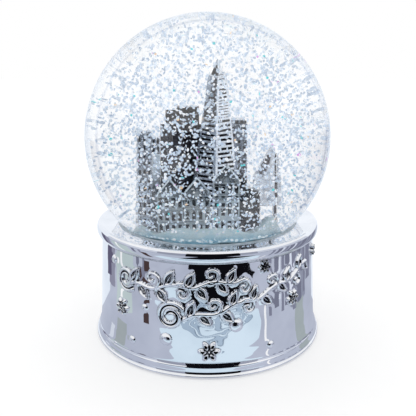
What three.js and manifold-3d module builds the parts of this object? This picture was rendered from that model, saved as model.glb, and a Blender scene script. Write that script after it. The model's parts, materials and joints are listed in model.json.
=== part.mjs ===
// A 100 mm snow globe on a round plated base, with a wind-up musical movement inside the base.
// Millimetres, +Z up. The origin is on the table, under the centre of the base, and the front is -Y.
import * as THREE from 'three';
import { mergeVertices } from 'three/addons/utils/BufferGeometryUtils.js';
import Module from 'manifold-3d';

const wasm = await Module();
wasm.setup();

// ---------------------------------------------------------------- driving dimensions

const GAP = 0.3; // clearance between pieces that touch in use
const ROUND = 36; // sides of the large round pieces

// globe
const GLOBE_RADIUS = 50;
const GLOBE_Z = 82.35; // height of the globe's centre
const GLASS = 2; // glass thickness
const NECK_RADIUS = 28.6; // outside of the neck that the stopper closes
const NECK_WALL = 2.2;
const NECK_BOTTOM = 33.5;
const SEAT_OFFSET = 1.5; // from the glass to the cup that it is glued into

// base
const FELT_THICKNESS = 0.8;
const FELT_RADIUS = 47;
const WALL_BOTTOM_RADIUS = 46.6; // outside of the base's wall, at its foot
const WALL_TOP_RADIUS = 44.8;
const WALL_TOP = 44;
const DECK_TOP = 48.3;
const DECK_THICKNESS = 2.2;
const SEAT_TOP_RADIUS = 37.4; // hole in the deck that the globe sinks into
const SEAT_BOTTOM_RADIUS = 30.5;
const CAVITY_RADIUS = 42.3;
const RECESS_RADIUS = 44; // below the ledge that carries the base plate
const LEDGE_Z = 13.2;
const PLATE_BOTTOM = 11;
const PLATE_TOP = 13;
const PLATE_RADIUS = 43.6;
const BOSS_DISTANCE = 38.4; // from the axis to each screw boss
const BOSS_ANGLES = [90, 210, 330];
const BOSS_TOP = 24;
const WINDING_HOLE_RADIUS = 2.4;
const PLATE_HOLE_RADIUS = 1.6;

// scene inside the globe
const MOUND_RADIUS = 24.5; // has to pass through the neck
const MOUND_BOTTOM = 43.3;
const GROUND_Z = 53;
const DRIFT_TOP = 49;
const STOPPER_TOP = 43;

// movement
const KEY_X = -13; // the winding axis, over the key
const BED_TOP = 15;
const AXIS_Z = 22.5; // height of the pinned cylinder's axis
const CONTRATE_TEETH = 30;
const PINION_TEETH = 10;
const CONTRATE_RADIUS = 12.5; // mean radius of the barrel's crown of teeth
const PINION_PITCH_RADIUS = CONTRATE_RADIUS * PINION_TEETH / CONTRATE_TEETH;
const CYLINDER_RADIUS = 6.2;
const CYLINDER_START = 2.3;
const CYLINDER_END = 20;
const TRAIN_MODULE = 0.4;
const DRIVE_TEETH = 32; // wheel on the cylinder
const LEAF_TEETH = 8; // pinion on the governor's arbor
const WORM_WHEEL_TEETH = 16;
const DRIVE_X = 20.8; // where the drive wheel starts
const GOVERNOR_Y = TRAIN_MODULE * (DRIVE_TEETH + LEAF_TEETH) / 2;
const WORM_X = 25;
const WORM_PITCH_RADIUS = 1;
const WORM_Y = GOVERNOR_Y + TRAIN_MODULE * WORM_WHEEL_TEETH / 2 + WORM_PITCH_RADIUS;
const COMB_NOTES = 18;
const COMB_PITCH = 0.96;
const COMB_BOTTOM = 22;
const PIN_SPREAD = 137.5; // degrees round the cylinder from one note's pin to the next's
const ARBOR_RADIUS = 1.35;
const MOVEMENT_SCREWS = [[-23, 15.5], [-23, -15.5], [26, -15.5]];
const BRIDGE_SCREWS = [[KEY_X, 17.4], [KEY_X, -17.4]];
const COMB_SCREWS = [[5, -17.2], [17.6, -17.2]];

// ---------------------------------------------------------------- geometry helpers

function signedVolume(position, triangles) {
  let total = 0;
  const [a, b, c] = [new THREE.Vector3(), new THREE.Vector3(), new THREE.Vector3()];
  for (let i = 0; i < triangles.length; i += 3) {
    a.fromArray(position, 3 * triangles[i]);
    b.fromArray(position, 3 * triangles[i + 1]);
    c.fromArray(position, 3 * triangles[i + 2]);
    total += a.dot(b.cross(c)) / 6;
  }
  return total;
}

// A three.js geometry as a closed solid whose faces point out.
function solidOf(geometry) {
  const plain = geometry.clone();
  plain.deleteAttribute('normal');
  plain.deleteAttribute('uv');
  const merged = mergeVertices(plain, 1e-4);
  const position = merged.attributes.position.array;
  const index = merged.index.array;
  const triangles = [];
  for (let i = 0; i < index.length; i += 3) {
    const [a, b, c] = [index[i], index[i + 1], index[i + 2]];
    if (a !== b && b !== c && c !== a) triangles.push(a, b, c);
  }
  if (signedVolume(position, triangles) < 0) triangles.reverse();
  return new wasm.Manifold(new wasm.Mesh({
    numProp: 3,
    vertProperties: Float32Array.from(position),
    triVerts: Uint32Array.from(triangles),
  }));
}

function geometryOf(solid) {
  const mesh = solid.getMesh();
  const geometry = new THREE.BufferGeometry();
  geometry.setAttribute('position', new THREE.Float32BufferAttribute(mesh.vertProperties, 3));
  geometry.setIndex(new THREE.Uint32BufferAttribute(mesh.triVerts, 1));
  geometry.computeVertexNormals();
  return geometry;
}

const join = (...solids) => solids.reduce((whole, next) => whole.add(next));
const cut = (solid, ...tools) => tools.reduce((left, tool) => left.subtract(tool), solid);

// A solid of revolution about Z from [radius, height] points.
function turned(points, segments = ROUND) {
  const profile = points.map(([radius, z]) => new THREE.Vector2(radius, z));
  return solidOf(new THREE.LatheGeometry(profile, segments).rotateX(Math.PI / 2));
}

// A ring whose section is the closed outline of [radius, height] points.
const ring = (points, segments = ROUND) => turned([...points, points[0]], segments);

function box([x0, x1], [y0, y1], [z0, z1], grow = 0) {
  const size = [x1 - x0, y1 - y0, z1 - z0].map((side) => side + 2 * grow);
  const geometry = new THREE.BoxGeometry(...size);
  return solidOf(geometry.translate((x0 + x1) / 2, (y0 + y1) / 2, (z0 + z1) / 2));
}

// An upright cylinder, cone or prism standing at x, y.
function post(x, y, [z0, z1], radius, sides = 16, topRadius = radius) {
  const geometry = new THREE.CylinderGeometry(topRadius, radius, z1 - z0, sides);
  return solidOf(geometry.rotateX(Math.PI / 2).translate(x, y, (z0 + z1) / 2));
}

// A cylinder along X.
function shaft([x0, x1], y, z, radius, sides = 10) {
  const geometry = new THREE.CylinderGeometry(radius, radius, x1 - x0, sides);
  return solidOf(geometry.rotateZ(Math.PI / 2).translate((x0 + x1) / 2, y, z));
}

// An outline in X and Z, extruded along Y.
function slab(points, [y0, y1]) {
  const outline = new THREE.Shape(points.map(([x, z]) => new THREE.Vector2(x, z)));
  const geometry = new THREE.ExtrudeGeometry(outline, { depth: y1 - y0, bevelEnabled: false });
  return solidOf(geometry.rotateX(Math.PI / 2).translate(0, y1, 0));
}

// Points along an arc of a profile, angles in degrees from the +radius direction.
function arc(centre, radius, from, to, steps) {
  return Array.from({ length: steps + 1 }, (_, i) => {
    const angle = THREE.MathUtils.degToRad(from + (to - from) * i / steps);
    return [centre[0] + radius * Math.cos(angle), centre[1] + radius * Math.sin(angle)];
  });
}

// Points of a globe-centred sphere's profile between two radii on its lower half.
function bowl(radius, fromR, toR, steps) {
  const degrees = (r) => -THREE.MathUtils.radToDeg(Math.acos(r / radius));
  return arc([0, GLOBE_Z], radius, degrees(fromR), degrees(toR), steps);
}

const polar = (distance, degrees) => {
  const angle = THREE.MathUtils.degToRad(degrees);
  return [distance * Math.cos(angle), distance * Math.sin(angle)];
};

// The outline of a spur wheel: straight-flanked teeth with a generous clearance.
function toothedShape(teeth, pitchRadius, addendum, dedendum, rootShare, tipShare) {
  const shape = new THREE.Shape();
  const step = 2 * Math.PI / teeth;
  const corners = [
    [-rootShare / 2, pitchRadius - dedendum],
    [-tipShare / 2, pitchRadius + addendum],
    [tipShare / 2, pitchRadius + addendum],
    [rootShare / 2, pitchRadius - dedendum],
  ];
  for (let tooth = 0; tooth < teeth; tooth += 1) {
    for (const [share, radius] of corners) {
      const angle = (tooth + share) * step;
      const [x, y] = [radius * Math.cos(angle), radius * Math.sin(angle)];
      if (shape.curves.length || tooth || share !== corners[0][0]) shape.lineTo(x, y);
      else shape.moveTo(x, y);
    }
  }
  return shape;
}

// A spur wheel on an axis along X, turned by phase (in teeth) from one tooth pointing at +Y.
function wheel([x0, x1], y, z, teeth, pitchRadius, phase, depth = [0.36, 0.5]) {
  const shape = toothedShape(teeth, pitchRadius, depth[0], depth[1], 0.5, 0.22);
  const geometry = new THREE.ExtrudeGeometry(shape, { depth: x1 - x0, bevelEnabled: false });
  geometry.rotateZ(phase * 2 * Math.PI / teeth);
  geometry.rotateZ(Math.PI / 2).rotateY(Math.PI / 2);
  return solidOf(geometry.translate(x0, y, z));
}

// ---------------------------------------------------------------- base

const PLATE_SCREWS = BOSS_ANGLES.map((degrees) => polar(BOSS_DISTANCE, degrees));

function bead(centreRadius, centreZ, radius, steps = 4) {
  return arc([centreRadius, centreZ], radius, -90, 90, steps);
}

function baseShell() {
  const outside = [
    ...bead(47.5, FELT_THICKNESS + 1.35, 1.4),
    ...bead(45.9, 5.3, 1.7),
    [WALL_BOTTOM_RADIUS + 0.5, 7.6],
    [WALL_BOTTOM_RADIUS, 10.5],
    [45.75, 25],
    [45.1, 38],
    [WALL_TOP_RADIUS, WALL_TOP],
    ...bead(44.55, 45.35, 1.25),
    ...bead(45.55, 48.05, 1.25),
    [44.6, 48.9],
    [44, DECK_TOP + 0.1],
    [SEAT_TOP_RADIUS, DECK_TOP],
  ];
  const seat = bowl(GLOBE_RADIUS + SEAT_OFFSET, SEAT_TOP_RADIUS, SEAT_BOTTOM_RADIUS, 3);
  const underSeat = bowl(GLOBE_RADIUS + SEAT_OFFSET + 2, SEAT_BOTTOM_RADIUS, 36, 3);
  const inside = [
    [39.5, DECK_TOP - DECK_THICKNESS],
    [CAVITY_RADIUS - 2, DECK_TOP - DECK_THICKNESS],
    [CAVITY_RADIUS, DECK_TOP - DECK_THICKNESS - 2],
    [CAVITY_RADIUS, LEDGE_Z],
    [RECESS_RADIUS, LEDGE_Z],
    [RECESS_RADIUS, FELT_THICKNESS],
  ];
  const shell = ring([...outside, ...seat, ...underSeat, ...inside]);
  const bosses = BOSS_ANGLES.map((degrees) => {
    const [x, y] = polar(BOSS_DISTANCE, degrees);
    const web = polar(BOSS_DISTANCE + 3, degrees);
    return join(post(x, y, [LEDGE_Z, BOSS_TOP], 3), post(...web, [LEDGE_Z, BOSS_TOP], 2.4));
  });
  const bores = PLATE_SCREWS.map(([x, y]) => post(x, y, [LEDGE_Z - 1, BOSS_TOP - 2], 1.5, 12));
  return cut(join(shell, ...bosses), ...bores);
}

function feltRing() {
  const [inner, top] = [RECESS_RADIUS + 0.2, FELT_THICKNESS - 0.05];
  return ring([[inner, 0], [FELT_RADIUS, 0], [FELT_RADIUS, top], [inner, top]]);
}

function basePlate() {
  const plate = post(0, 0, [PLATE_BOTTOM, PLATE_TOP], PLATE_RADIUS, ROUND);
  const through = [PLATE_BOTTOM - 1, PLATE_TOP + 1];
  const screws = [...PLATE_SCREWS, ...MOVEMENT_SCREWS];
  const holes = screws.map(([x, y]) => post(x, y, through, PLATE_HOLE_RADIUS, 12));
  return cut(plate, post(KEY_X, 0, through, WINDING_HOLE_RADIUS), ...holes);
}

// A pan-head screw driven upwards, with a cross recess in its head.
function screwUp([x, y], headBottom, headTop, tip, headRadius, shankRadius) {
  const head = post(x, y, [headBottom, headTop], headRadius * 0.8, 20, headRadius);
  const shank = post(x, y, [headTop - 0.2, tip], shankRadius, 12);
  const slot = [headBottom - 1, headBottom + 0.7];
  const across = box([x - headRadius * 0.55, x + headRadius * 0.55], [y - 0.3, y + 0.3], slot);
  const along = box([x - 0.3, x + 0.3], [y - headRadius * 0.55, y + headRadius * 0.55], slot);
  return cut(join(head, shank), across, along);
}

// A slotted cheese-head screw driven downwards.
function screwDown([x, y], headTop, headBottom, tip) {
  const head = post(x, y, [headBottom, headTop], 1.6, 16);
  const shank = post(x, y, [tip, headBottom + 0.2], 0.8, 12);
  return cut(join(head, shank), box([x - 2, x + 2], [y - 0.2, y + 0.2], [headTop - 0.5, headTop + 1]));
}

// ---------------------------------------------------------------- globe and its closure

function glassGlobe() {
  const inner = GLOBE_RADIUS - GLASS;
  const neckInside = NECK_RADIUS - NECK_WALL;
  const degrees = (r, radius) => -THREE.MathUtils.radToDeg(Math.acos(r / radius));
  return ring([
    ...arc([0, GLOBE_Z], GLOBE_RADIUS, degrees(NECK_RADIUS, GLOBE_RADIUS), 0, 5),
    ...arc([0, GLOBE_Z], GLOBE_RADIUS, 0, 90, 8).slice(1),
    ...arc([0, GLOBE_Z], inner, 90, degrees(neckInside, inner), 11),
    [neckInside, NECK_BOTTOM],
    [NECK_RADIUS + 0.8, NECK_BOTTOM],
    [NECK_RADIUS + 0.8, NECK_BOTTOM + 1.6],
    [NECK_RADIUS, NECK_BOTTOM + 2.4],
  ]);
}

function globeSeal() {
  return ring([
    ...bowl(GLOBE_RADIUS + GAP, 31.2, 37, 2),
    ...bowl(GLOBE_RADIUS + SEAT_OFFSET - GAP, 37.1, 31.2, 2),
  ]);
}

function stopper() {
  const plug = NECK_RADIUS - NECK_WALL - GAP;
  const ribs = [36.4, 40].flatMap((z) => [
    [plug - 0.7, z - 0.5], [plug, z], [plug, z + 0.6], [plug - 0.7, z + 1.1],
  ]);
  return turned([
    [0, NECK_BOTTOM - 2.3], [NECK_RADIUS + 0.4, NECK_BOTTOM - 2.3], [NECK_RADIUS + 0.4, NECK_BOTTOM - GAP],
    [plug - 0.7, NECK_BOTTOM - GAP], ...ribs, [plug - 1.2, STOPPER_TOP], [0, STOPPER_TOP],
  ], 32);
}

function snowMound() {
  return turned([
    [0, MOUND_BOTTOM], [MOUND_RADIUS - 1, MOUND_BOTTOM], [MOUND_RADIUS, MOUND_BOTTOM + 1],
    [MOUND_RADIUS, GROUND_Z - 2.6], [MOUND_RADIUS - 0.5, GROUND_Z - 0.8], [23.2, GROUND_Z], [0, GROUND_Z],
  ]);
}

function glitterDrift() {
  const wall = GLOBE_RADIUS - GLASS - 1;
  const atBottom = Math.sqrt(wall ** 2 - (GLOBE_Z - MOUND_BOTTOM - GAP) ** 2);
  const atTop = Math.sqrt(wall ** 2 - (GLOBE_Z - DRIFT_TOP) ** 2);
  return ring([
    [MOUND_RADIUS + GAP, MOUND_BOTTOM + GAP], ...bowl(wall, atBottom, atTop, 3),
    [MOUND_RADIUS + GAP, DRIFT_TOP + 0.6],
  ]);
}

function liquidFill() {
  const radius = GLOBE_RADIUS - GLASS - 2 * GAP;
  const sphere = new THREE.SphereGeometry(radius, 32, 16).rotateX(Math.PI / 2).translate(0, 0, GLOBE_Z);
  const beside = [-GLOBE_RADIUS, GLOBE_RADIUS];
  const below = box(beside, beside, [GLOBE_Z - GLOBE_RADIUS, DRIFT_TOP + 1]);
  const mound = post(0, 0, [40, GROUND_Z + GAP], MOUND_RADIUS + 2 * GAP, ROUND);
  return cut(solidOf(sphere), below, mound, ...cityPockets());
}

// ---------------------------------------------------------------- city

const SPIRE_X = 2.1;
const SPIRE_SHOULDER = 101;
const SPIRE_TIP = 106.2;
const LEFT_TOWER = { x: [-22, -14.8], y: [-3.5, 3.5], top: 85.2 };
const CENTRE_BLOCK = { x: [-14.5, -1.5], y: [6, 14], top: 91 };
const RIGHT_BLOCK = { x: [4, 12.2], y: [8, 15], top: 87 };
const WEDGE = { x: [14.2, 22.7], y: [-1.5, 5], top: 79.9 };
const LOW_BLOCK = { x: [9.2, 16.6], y: [-8.8, -3], top: 69 };
const HOUSE_WIDTH = 8.5;
const HOUSES = [
  { x: -12.1, top: 70.8, eaves: 65.4 },
  { x: -3.3, top: 71.8, eaves: 66 },
  { x: 6.1, top: 73.4, eaves: 67 },
];
const HOUSE_FRONT = -16;
const HOUSE_BACK = -9.6;
const HOUSE_ROW = {
  x: [HOUSES[0].x - HOUSE_WIDTH / 2, HOUSES[2].x + HOUSE_WIDTH / 2],
  y: [HOUSE_FRONT, HOUSE_BACK],
  top: HOUSES[2].top,
};

function spireTower() {
  return join(
    post(SPIRE_X, 0, [GROUND_Z, SPIRE_SHOULDER], 9, 4, 2.7),
    post(SPIRE_X, 0, [SPIRE_SHOULDER - 0.4, SPIRE_SHOULDER + 0.5], 3, 4),
    post(SPIRE_X, 0, [SPIRE_SHOULDER, SPIRE_TIP], 2, 4, 0.15),
  );
}

const leftTower = () => join(
  box([LEFT_TOWER.x[0], -17.5], LEFT_TOWER.y, [GROUND_Z, 84]),
  box([-21.3, -18.2], [-2.5, 2.5], [83, LEFT_TOWER.top]),
  post(-16.5, -1.5, [GROUND_Z, 79], 1.7, 16),
);

const centreBlock = () => join(
  box(CENTRE_BLOCK.x, CENTRE_BLOCK.y, [GROUND_Z, 84.5]),
  box([-12.9, -2.6], [7.2, 12.8], [84, 89]),
  box([-9.6, -2.6], [8.4, 11.6], [88, CENTRE_BLOCK.top]),
);

const rightBlock = () => join(
  box(RIGHT_BLOCK.x, RIGHT_BLOCK.y, [GROUND_Z, 85.4]),
  box([4.8, 11.4], [9, 14], [85, RIGHT_BLOCK.top]),
);

function wedgeBuilding() {
  const [left, right] = WEDGE.x;
  const outline = [[left, GROUND_Z], [22.6, GROUND_Z], [right, 74.4], [19.6, WEDGE.top], [left, 70.7]];
  const porch = box([15.8, 21], [WEDGE.y[0] - 1.5, 0.6], [GROUND_Z + 1.5, 61]);
  return cut(slab(outline, WEDGE.y), porch);
}

function lowBlock() {
  const [left, right] = LOW_BLOCK.x;
  return slab([[left, GROUND_Z], [right, GROUND_Z], [right, 66.8], [left, LOW_BLOCK.top]], LOW_BLOCK.y);
}

// A gabled town house with a door in its front.
function rowHouse({ x, top, eaves }) {
  const half = HOUSE_WIDTH / 2;
  const [left, right] = [x - half, x + half];
  const walls = [[left, GROUND_Z], [right, GROUND_Z], [right, eaves]];
  const roof = [[x + 0.5, top], [x - 0.5, top], [left, eaves]];
  const house = slab([...walls, ...roof], [HOUSE_FRONT + 0.4, HOUSE_BACK]);
  const front = box([left + 0.6, right - 0.6], [HOUSE_FRONT, HOUSE_FRONT + 0.6], [GROUND_Z, eaves - 0.5]);
  const door = box([x - 1, x + 1], [HOUSE_FRONT - 1, HOUSE_FRONT + 0.8], [GROUND_Z + 0.6, GROUND_Z + 4.5]);
  return cut(join(house, front), door);
}

// Hollows that the liquid leaves for the buildings.
function cityPockets() {
  const down = GROUND_Z - 1;
  const blocks = [LEFT_TOWER, CENTRE_BLOCK, RIGHT_BLOCK, WEDGE, LOW_BLOCK, HOUSE_ROW];
  return [
    post(SPIRE_X, 0, [down, SPIRE_SHOULDER], 9.8, 4, 3.5),
    post(SPIRE_X, 0, [SPIRE_SHOULDER - 1, SPIRE_TIP + 0.8], 3.8, 4, 1),
    ...blocks.map(({ x, y, top }) => box(x, y, [down, top], GAP)),
  ];
}

// ---------------------------------------------------------------- musical movement


function bedplate() {
  const outline = new THREE.Shape();
  const [left, right, half, corner] = [-28, 30, 20, 3];
  outline.moveTo(left + corner, -half);
  outline.lineTo(right - corner, -half);
  outline.absarc(right - corner, corner - half, corner, -Math.PI / 2, 0);
  outline.lineTo(right, half - corner);
  outline.absarc(right - corner, half - corner, corner, 0, Math.PI / 2);
  outline.lineTo(left + corner, half);
  outline.absarc(left + corner, half - corner, corner, Math.PI / 2, Math.PI);
  outline.lineTo(left, corner - half);
  outline.absarc(left + corner, corner - half, corner, Math.PI, 1.5 * Math.PI);
  const depth = BED_TOP - PLATE_TOP;
  const geometry = new THREE.ExtrudeGeometry(outline, { depth, bevelEnabled: false, curveSegments: 5 });
  const plate = solidOf(geometry.translate(0, 0, PLATE_TOP));
  const through = [PLATE_TOP - 1, BED_TOP + 1];
  const upright = [BED_TOP - 0.5, AXIS_Z + 2.5];
  const leftBearing = box([0.8, 1.9], [-3, 3], upright);
  const rightBearing = box([22.4, 23.6], [-3, GOVERNOR_Y + 2.4], upright);
  const outerBearing = box([27, 28.2], [GOVERNOR_Y - 2.4, GOVERNOR_Y + 2.4], upright);
  const combBlock = box([1.4, 21.2], [-19.4, -14.8], [BED_TOP - 0.5, COMB_BOTTOM - 0.1]);
  return cut(
    join(plate, leftBearing, rightBearing, outerBearing, combBlock),
    post(KEY_X, 0, through, 1.8),
    shaft([0, 24], 0, AXIS_Z, 1.2),
    shaft([22, 29], GOVERNOR_Y, AXIS_Z, 0.9),
    ...MOVEMENT_SCREWS.map(([x, y]) => post(x, y, through, 1.4, 12)),
    ...[...COMB_SCREWS, ...BRIDGE_SCREWS].map(([x, y]) => post(x, y, [BED_TOP - 1, 24], 1, 12)),
  );
}

function springBarrel() {
  const rim = CONTRATE_RADIUS + 0.9;
  const outside = [[1.8, 16.2], [rim, 16.2], [rim, 17.2], [10.8, 17.2], [10.8, 26]];
  const inside = [[10, 26], [10, 17.1], [1.8, 17.1]];
  const drum = ring([...outside, ...inside], 30);
  const pitch = 2 * Math.PI * CONTRATE_RADIUS / CONTRATE_TEETH;
  const base = 17.1;
  const tip = AXIS_Z - PINION_PITCH_RADIUS + 0.5;
  const teeth = Array.from({ length: CONTRATE_TEETH }, (_, i) => {
    const [wide, narrow] = [0.24 * pitch, 0.11 * pitch];
    const outline = [[-wide, base], [wide, base], [narrow, tip], [-narrow, tip]];
    const tooth = slab(outline, [CONTRATE_RADIUS - 0.8, CONTRATE_RADIUS + 0.8]);
    return tooth.rotate([0, 0, 360 * i / CONTRATE_TEETH - 90]);
  });
  return join(drum, ...teeth).translate([KEY_X, 0, 0]);
}

function barrelCover() {
  return ring([[1.8, 26.1], [10.6, 26.1], [10.6, 26.8], [1.8, 26.8]], 32).translate([KEY_X, 0, 0]);
}

// A flat spring coiled from the arbor out to the barrel's wall.
function mainspring() {
  const [turns, steps, thickness, innerRadius, outerRadius] = [5, 70, 0.3, 2.9, 9.2];
  const edge = (offset) => Array.from({ length: steps + 1 }, (_, i) => {
    const angle = 2 * Math.PI * turns * i / steps;
    const radius = innerRadius + (outerRadius - innerRadius) * i / steps + offset;
    return new THREE.Vector2(radius * Math.cos(angle), radius * Math.sin(angle));
  });
  const outline = new THREE.Shape([...edge(thickness), ...edge(0).reverse()]);
  const geometry = new THREE.ExtrudeGeometry(outline, { depth: 8, bevelEnabled: false });
  return solidOf(geometry.translate(KEY_X, 0, 17.5));
}

const windingArbor = () => join(
  post(KEY_X, 0, [6.6, 29.4], ARBOR_RADIUS),
  post(KEY_X, 0, [17.5, 25.5], 2.2),
);

function windingKey() {
  const wings = new THREE.Shape();
  wings.moveTo(0, 2.2);
  wings.bezierCurveTo(3, 0.2, 11.8, 0.2, 11.8, 4.6);
  wings.bezierCurveTo(11.8, 8.6, 5.4, 8.8, 2.6, 6.8);
  wings.lineTo(-2.6, 6.8);
  wings.bezierCurveTo(-5.4, 8.8, -11.8, 8.6, -11.8, 4.6);
  wings.bezierCurveTo(-11.8, 0.2, -3, 0.2, 0, 2.2);
  for (const side of [-1, 1]) {
    const hole = new THREE.Path();
    hole.absellipse(side * 7.2, 4.5, 2.4, 1.9, 0, 2 * Math.PI);
    wings.holes.push(hole);
  }
  const geometry = new THREE.ExtrudeGeometry(wings, { depth: 1.6, bevelEnabled: false, curveSegments: 8 });
  const plate = solidOf(geometry.rotateX(Math.PI / 2).translate(KEY_X, 0.8, 0));
  const boss = post(KEY_X, 0, [4, 10.6], 2.7);
  return cut(join(plate, boss), post(KEY_X, 0, [6.3, 12], ARBOR_RADIUS + GAP));
}

function barrelBridge() {
  const strap = box([KEY_X - 3, KEY_X + 3], [-19.4, 19.4], [27.4, 28.6]);
  const legs = [-1, 1].map((side) => {
    const [near, far] = side > 0 ? [15.2, 19.4] : [-19.4, -15.2];
    return box([KEY_X - 3, KEY_X + 3], [near, far], [BED_TOP, 27.6]);
  });
  const holes = [
    post(KEY_X, 0, [27, 30], ARBOR_RADIUS + GAP),
    ...BRIDGE_SCREWS.map(([x, y]) => post(x, y, [BED_TOP - 1, 30], 1.05, 12)),
  ];
  return cut(join(strap, ...legs), ...holes);
}

// The drum that plays the tune: rows of pins, its driven pinion and the wheel that drives the governor.
function pinnedCylinder() {
  const parts = [
    shaft([-1.5, 24.2], 0, AXIS_Z, 0.9),
    shaft([CYLINDER_START, CYLINDER_END], 0, AXIS_Z, CYLINDER_RADIUS, 20),
    wheel([-1.2, 0.3], 0, AXIS_Z, PINION_TEETH, PINION_PITCH_RADIUS, 0, [0.55, 0.75]),
    wheel([DRIVE_X, DRIVE_X + 1.1], 0, AXIS_Z, DRIVE_TEETH, TRAIN_MODULE * DRIVE_TEETH / 2, 0),
    shaft([CYLINDER_END - 0.5, DRIVE_X + 0.5], 0, AXIS_Z, 2.4),
  ];
  const pins = [];
  for (let note = 0; note < COMB_NOTES; note += 1) {
    const pin = new THREE.CylinderGeometry(0.16, 0.2, 1, 4).translate(0, CYLINDER_RADIUS, 0);
    pin.rotateX(THREE.MathUtils.degToRad(PIN_SPREAD * note + 40));
    pins.push(solidOf(pin.translate(CYLINDER_START + 0.7 + note * COMB_PITCH, 0, AXIS_Z)));
  }
  return join(...parts, ...pins);
}

function comb() {
  const first = CYLINDER_START + 0.7;
  const [back, root, tip] = [-19.2, -15, -CYLINDER_RADIUS - 0.9];
  const outline = new THREE.Shape();
  outline.moveTo(first - 1.2, back);
  outline.lineTo(first + (COMB_NOTES - 1) * COMB_PITCH + 1.2, back);
  outline.lineTo(first + (COMB_NOTES - 1) * COMB_PITCH + 1.2, root);
  for (let note = COMB_NOTES - 1; note >= 0; note -= 1) {
    const x = first + note * COMB_PITCH;
    outline.lineTo(x + 0.34, root);
    outline.lineTo(x + 0.3, tip);
    outline.lineTo(x - 0.3, tip);
    outline.lineTo(x - 0.34, root);
  }
  outline.lineTo(first - 1.2, root);
  const geometry = new THREE.ExtrudeGeometry(outline, { depth: 0.9, bevelEnabled: false });
  const plate = solidOf(geometry.translate(0, 0, COMB_BOTTOM));
  return cut(plate, ...COMB_SCREWS.map(([x, y]) => post(x, y, [21, 24], 1.05, 12)));
}

const governorWheel = () => join(
  shaft([DRIVE_X - 0.2, 28], GOVERNOR_Y, AXIS_Z, 0.6),
  wheel([DRIVE_X - 0.1, DRIVE_X + 1.2], GOVERNOR_Y, AXIS_Z, LEAF_TEETH, TRAIN_MODULE * LEAF_TEETH / 2, 0.5),
  wheel([WORM_X - 0.45, WORM_X + 0.45], GOVERNOR_Y, AXIS_Z, WORM_WHEEL_TEETH,
    TRAIN_MODULE * WORM_WHEEL_TEETH / 2, 0, [0.25, 0.5]),
);

// The worm that the governor's wheel spins, with the two-bladed fly that brakes it in the air.
function flyShaft() {
  const lead = Math.PI * TRAIN_MODULE;
  const turns = 3;
  const steps = 21;
  const helix = Array.from({ length: steps + 1 }, (_, i) => {
    const angle = 2 * Math.PI * turns * i / steps;
    const z = lead * turns * (i / steps - 0.5);
    return new THREE.Vector3(0.85 * Math.cos(angle), 0.85 * Math.sin(angle), z);
  });
  const thread = helix.slice(1).map((end, i) => {
    const start = helix[i];
    const middle = start.clone().add(end).multiplyScalar(0.5);
    const piece = new THREE.BoxGeometry(0.55, start.distanceTo(end) + 0.06, 0.3);
    piece.rotateX(Math.atan2(end.z - start.z, Math.hypot(end.x - start.x, end.y - start.y)));
    piece.rotateZ(Math.atan2(middle.y, middle.x));
    return solidOf(piece.translate(...middle.toArray()));
  });
  const worm = join(...thread).rotate([0, 0, -90]).translate([WORM_X, WORM_Y, AXIS_Z]);
  return join(
    post(WORM_X, WORM_Y, [16.7, 27.3], 0.65, 12),
    worm,
    box([WORM_X - 2.8, WORM_X + 2.8], [WORM_Y - 0.2, WORM_Y + 0.2], [25.9, 27.1]),
  );
}

const governorBracket = () => cut(
  join(
    box([23.9, 26.5], [WORM_Y - 1.4, 18.4], [BED_TOP, 16.4]),
    box([23.9, 26.5], [16, 18.4], [BED_TOP, 28.8]),
    box([23.9, 26.5], [WORM_Y - 1.4, 18.4], [27.6, 28.8]),
  ),
  box([24.6, 25.8], [15, 20], [19, 25]),
);

// ---------------------------------------------------------------- the object

const finish = (color, roughness, metalness, extra = {}) => ({ color, roughness, metalness, ...extra });
const CHROME = finish(0xd4d7dc, 0.06, 1);
const STEEL = finish(0xb9bdc2, 0.3, 1);
const BRASS = finish(0xc9a34e, 0.3, 1);
const ZINC = finish(0xa9abae, 0.42, 0.9);
const SILVERED = finish(0xc6cace, 0.22, 1);
const CLEAR = { transparent: true, depthWrite: false };

const group = new THREE.Group();

function part(name, solid, look) {
  const mesh = new THREE.Mesh(geometryOf(solid), new THREE.MeshStandardMaterial(look));
  mesh.name = name;
  group.add(mesh);
}

part('base_shell', baseShell(), CHROME);
part('felt_ring', feltRing(), finish(0x25262a, 0.95, 0));
part('base_plate', basePlate(), finish(0x2b2c2f, 0.55, 0.6));
PLATE_SCREWS.forEach((place, i) => {
  part(`plate_screw_${i + 1}`, screwUp(place, 9.4, PLATE_BOTTOM, 20, 2.8, 1.2), STEEL);
});
MOVEMENT_SCREWS.forEach((place, i) => {
  part(`movement_screw_${i + 1}`, screwUp(place, 9.8, PLATE_BOTTOM, 14.8, 2.4, 1.1), STEEL);
});

part('glass_globe', glassGlobe(), finish(0xeef4f7, 0.02, 0, { ...CLEAR, opacity: 0.25 }));
part('liquid_fill', liquidFill(), finish(0xe6f1f6, 0.02, 0, { ...CLEAR, opacity: 0.15 }));
part('globe_seal', globeSeal(), finish(0x3a3d41, 0.5, 0));
part('stopper', stopper(), finish(0x1f2022, 0.8, 0));
part('glitter_drift', glitterDrift(), finish(0xdfe8ee, 0.35, 0.4));
part('snow_mound', snowMound(), finish(0xdbe7ee, 0.55, 0));

part('spire_tower', spireTower(), SILVERED);
part('left_tower', leftTower(), SILVERED);
part('centre_block', centreBlock(), SILVERED);
part('right_block', rightBlock(), SILVERED);
part('wedge_building', wedgeBuilding(), SILVERED);
part('low_block', lowBlock(), SILVERED);
HOUSES.forEach((house, i) => part(`row_house_${i + 1}`, rowHouse(house), SILVERED));

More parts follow.
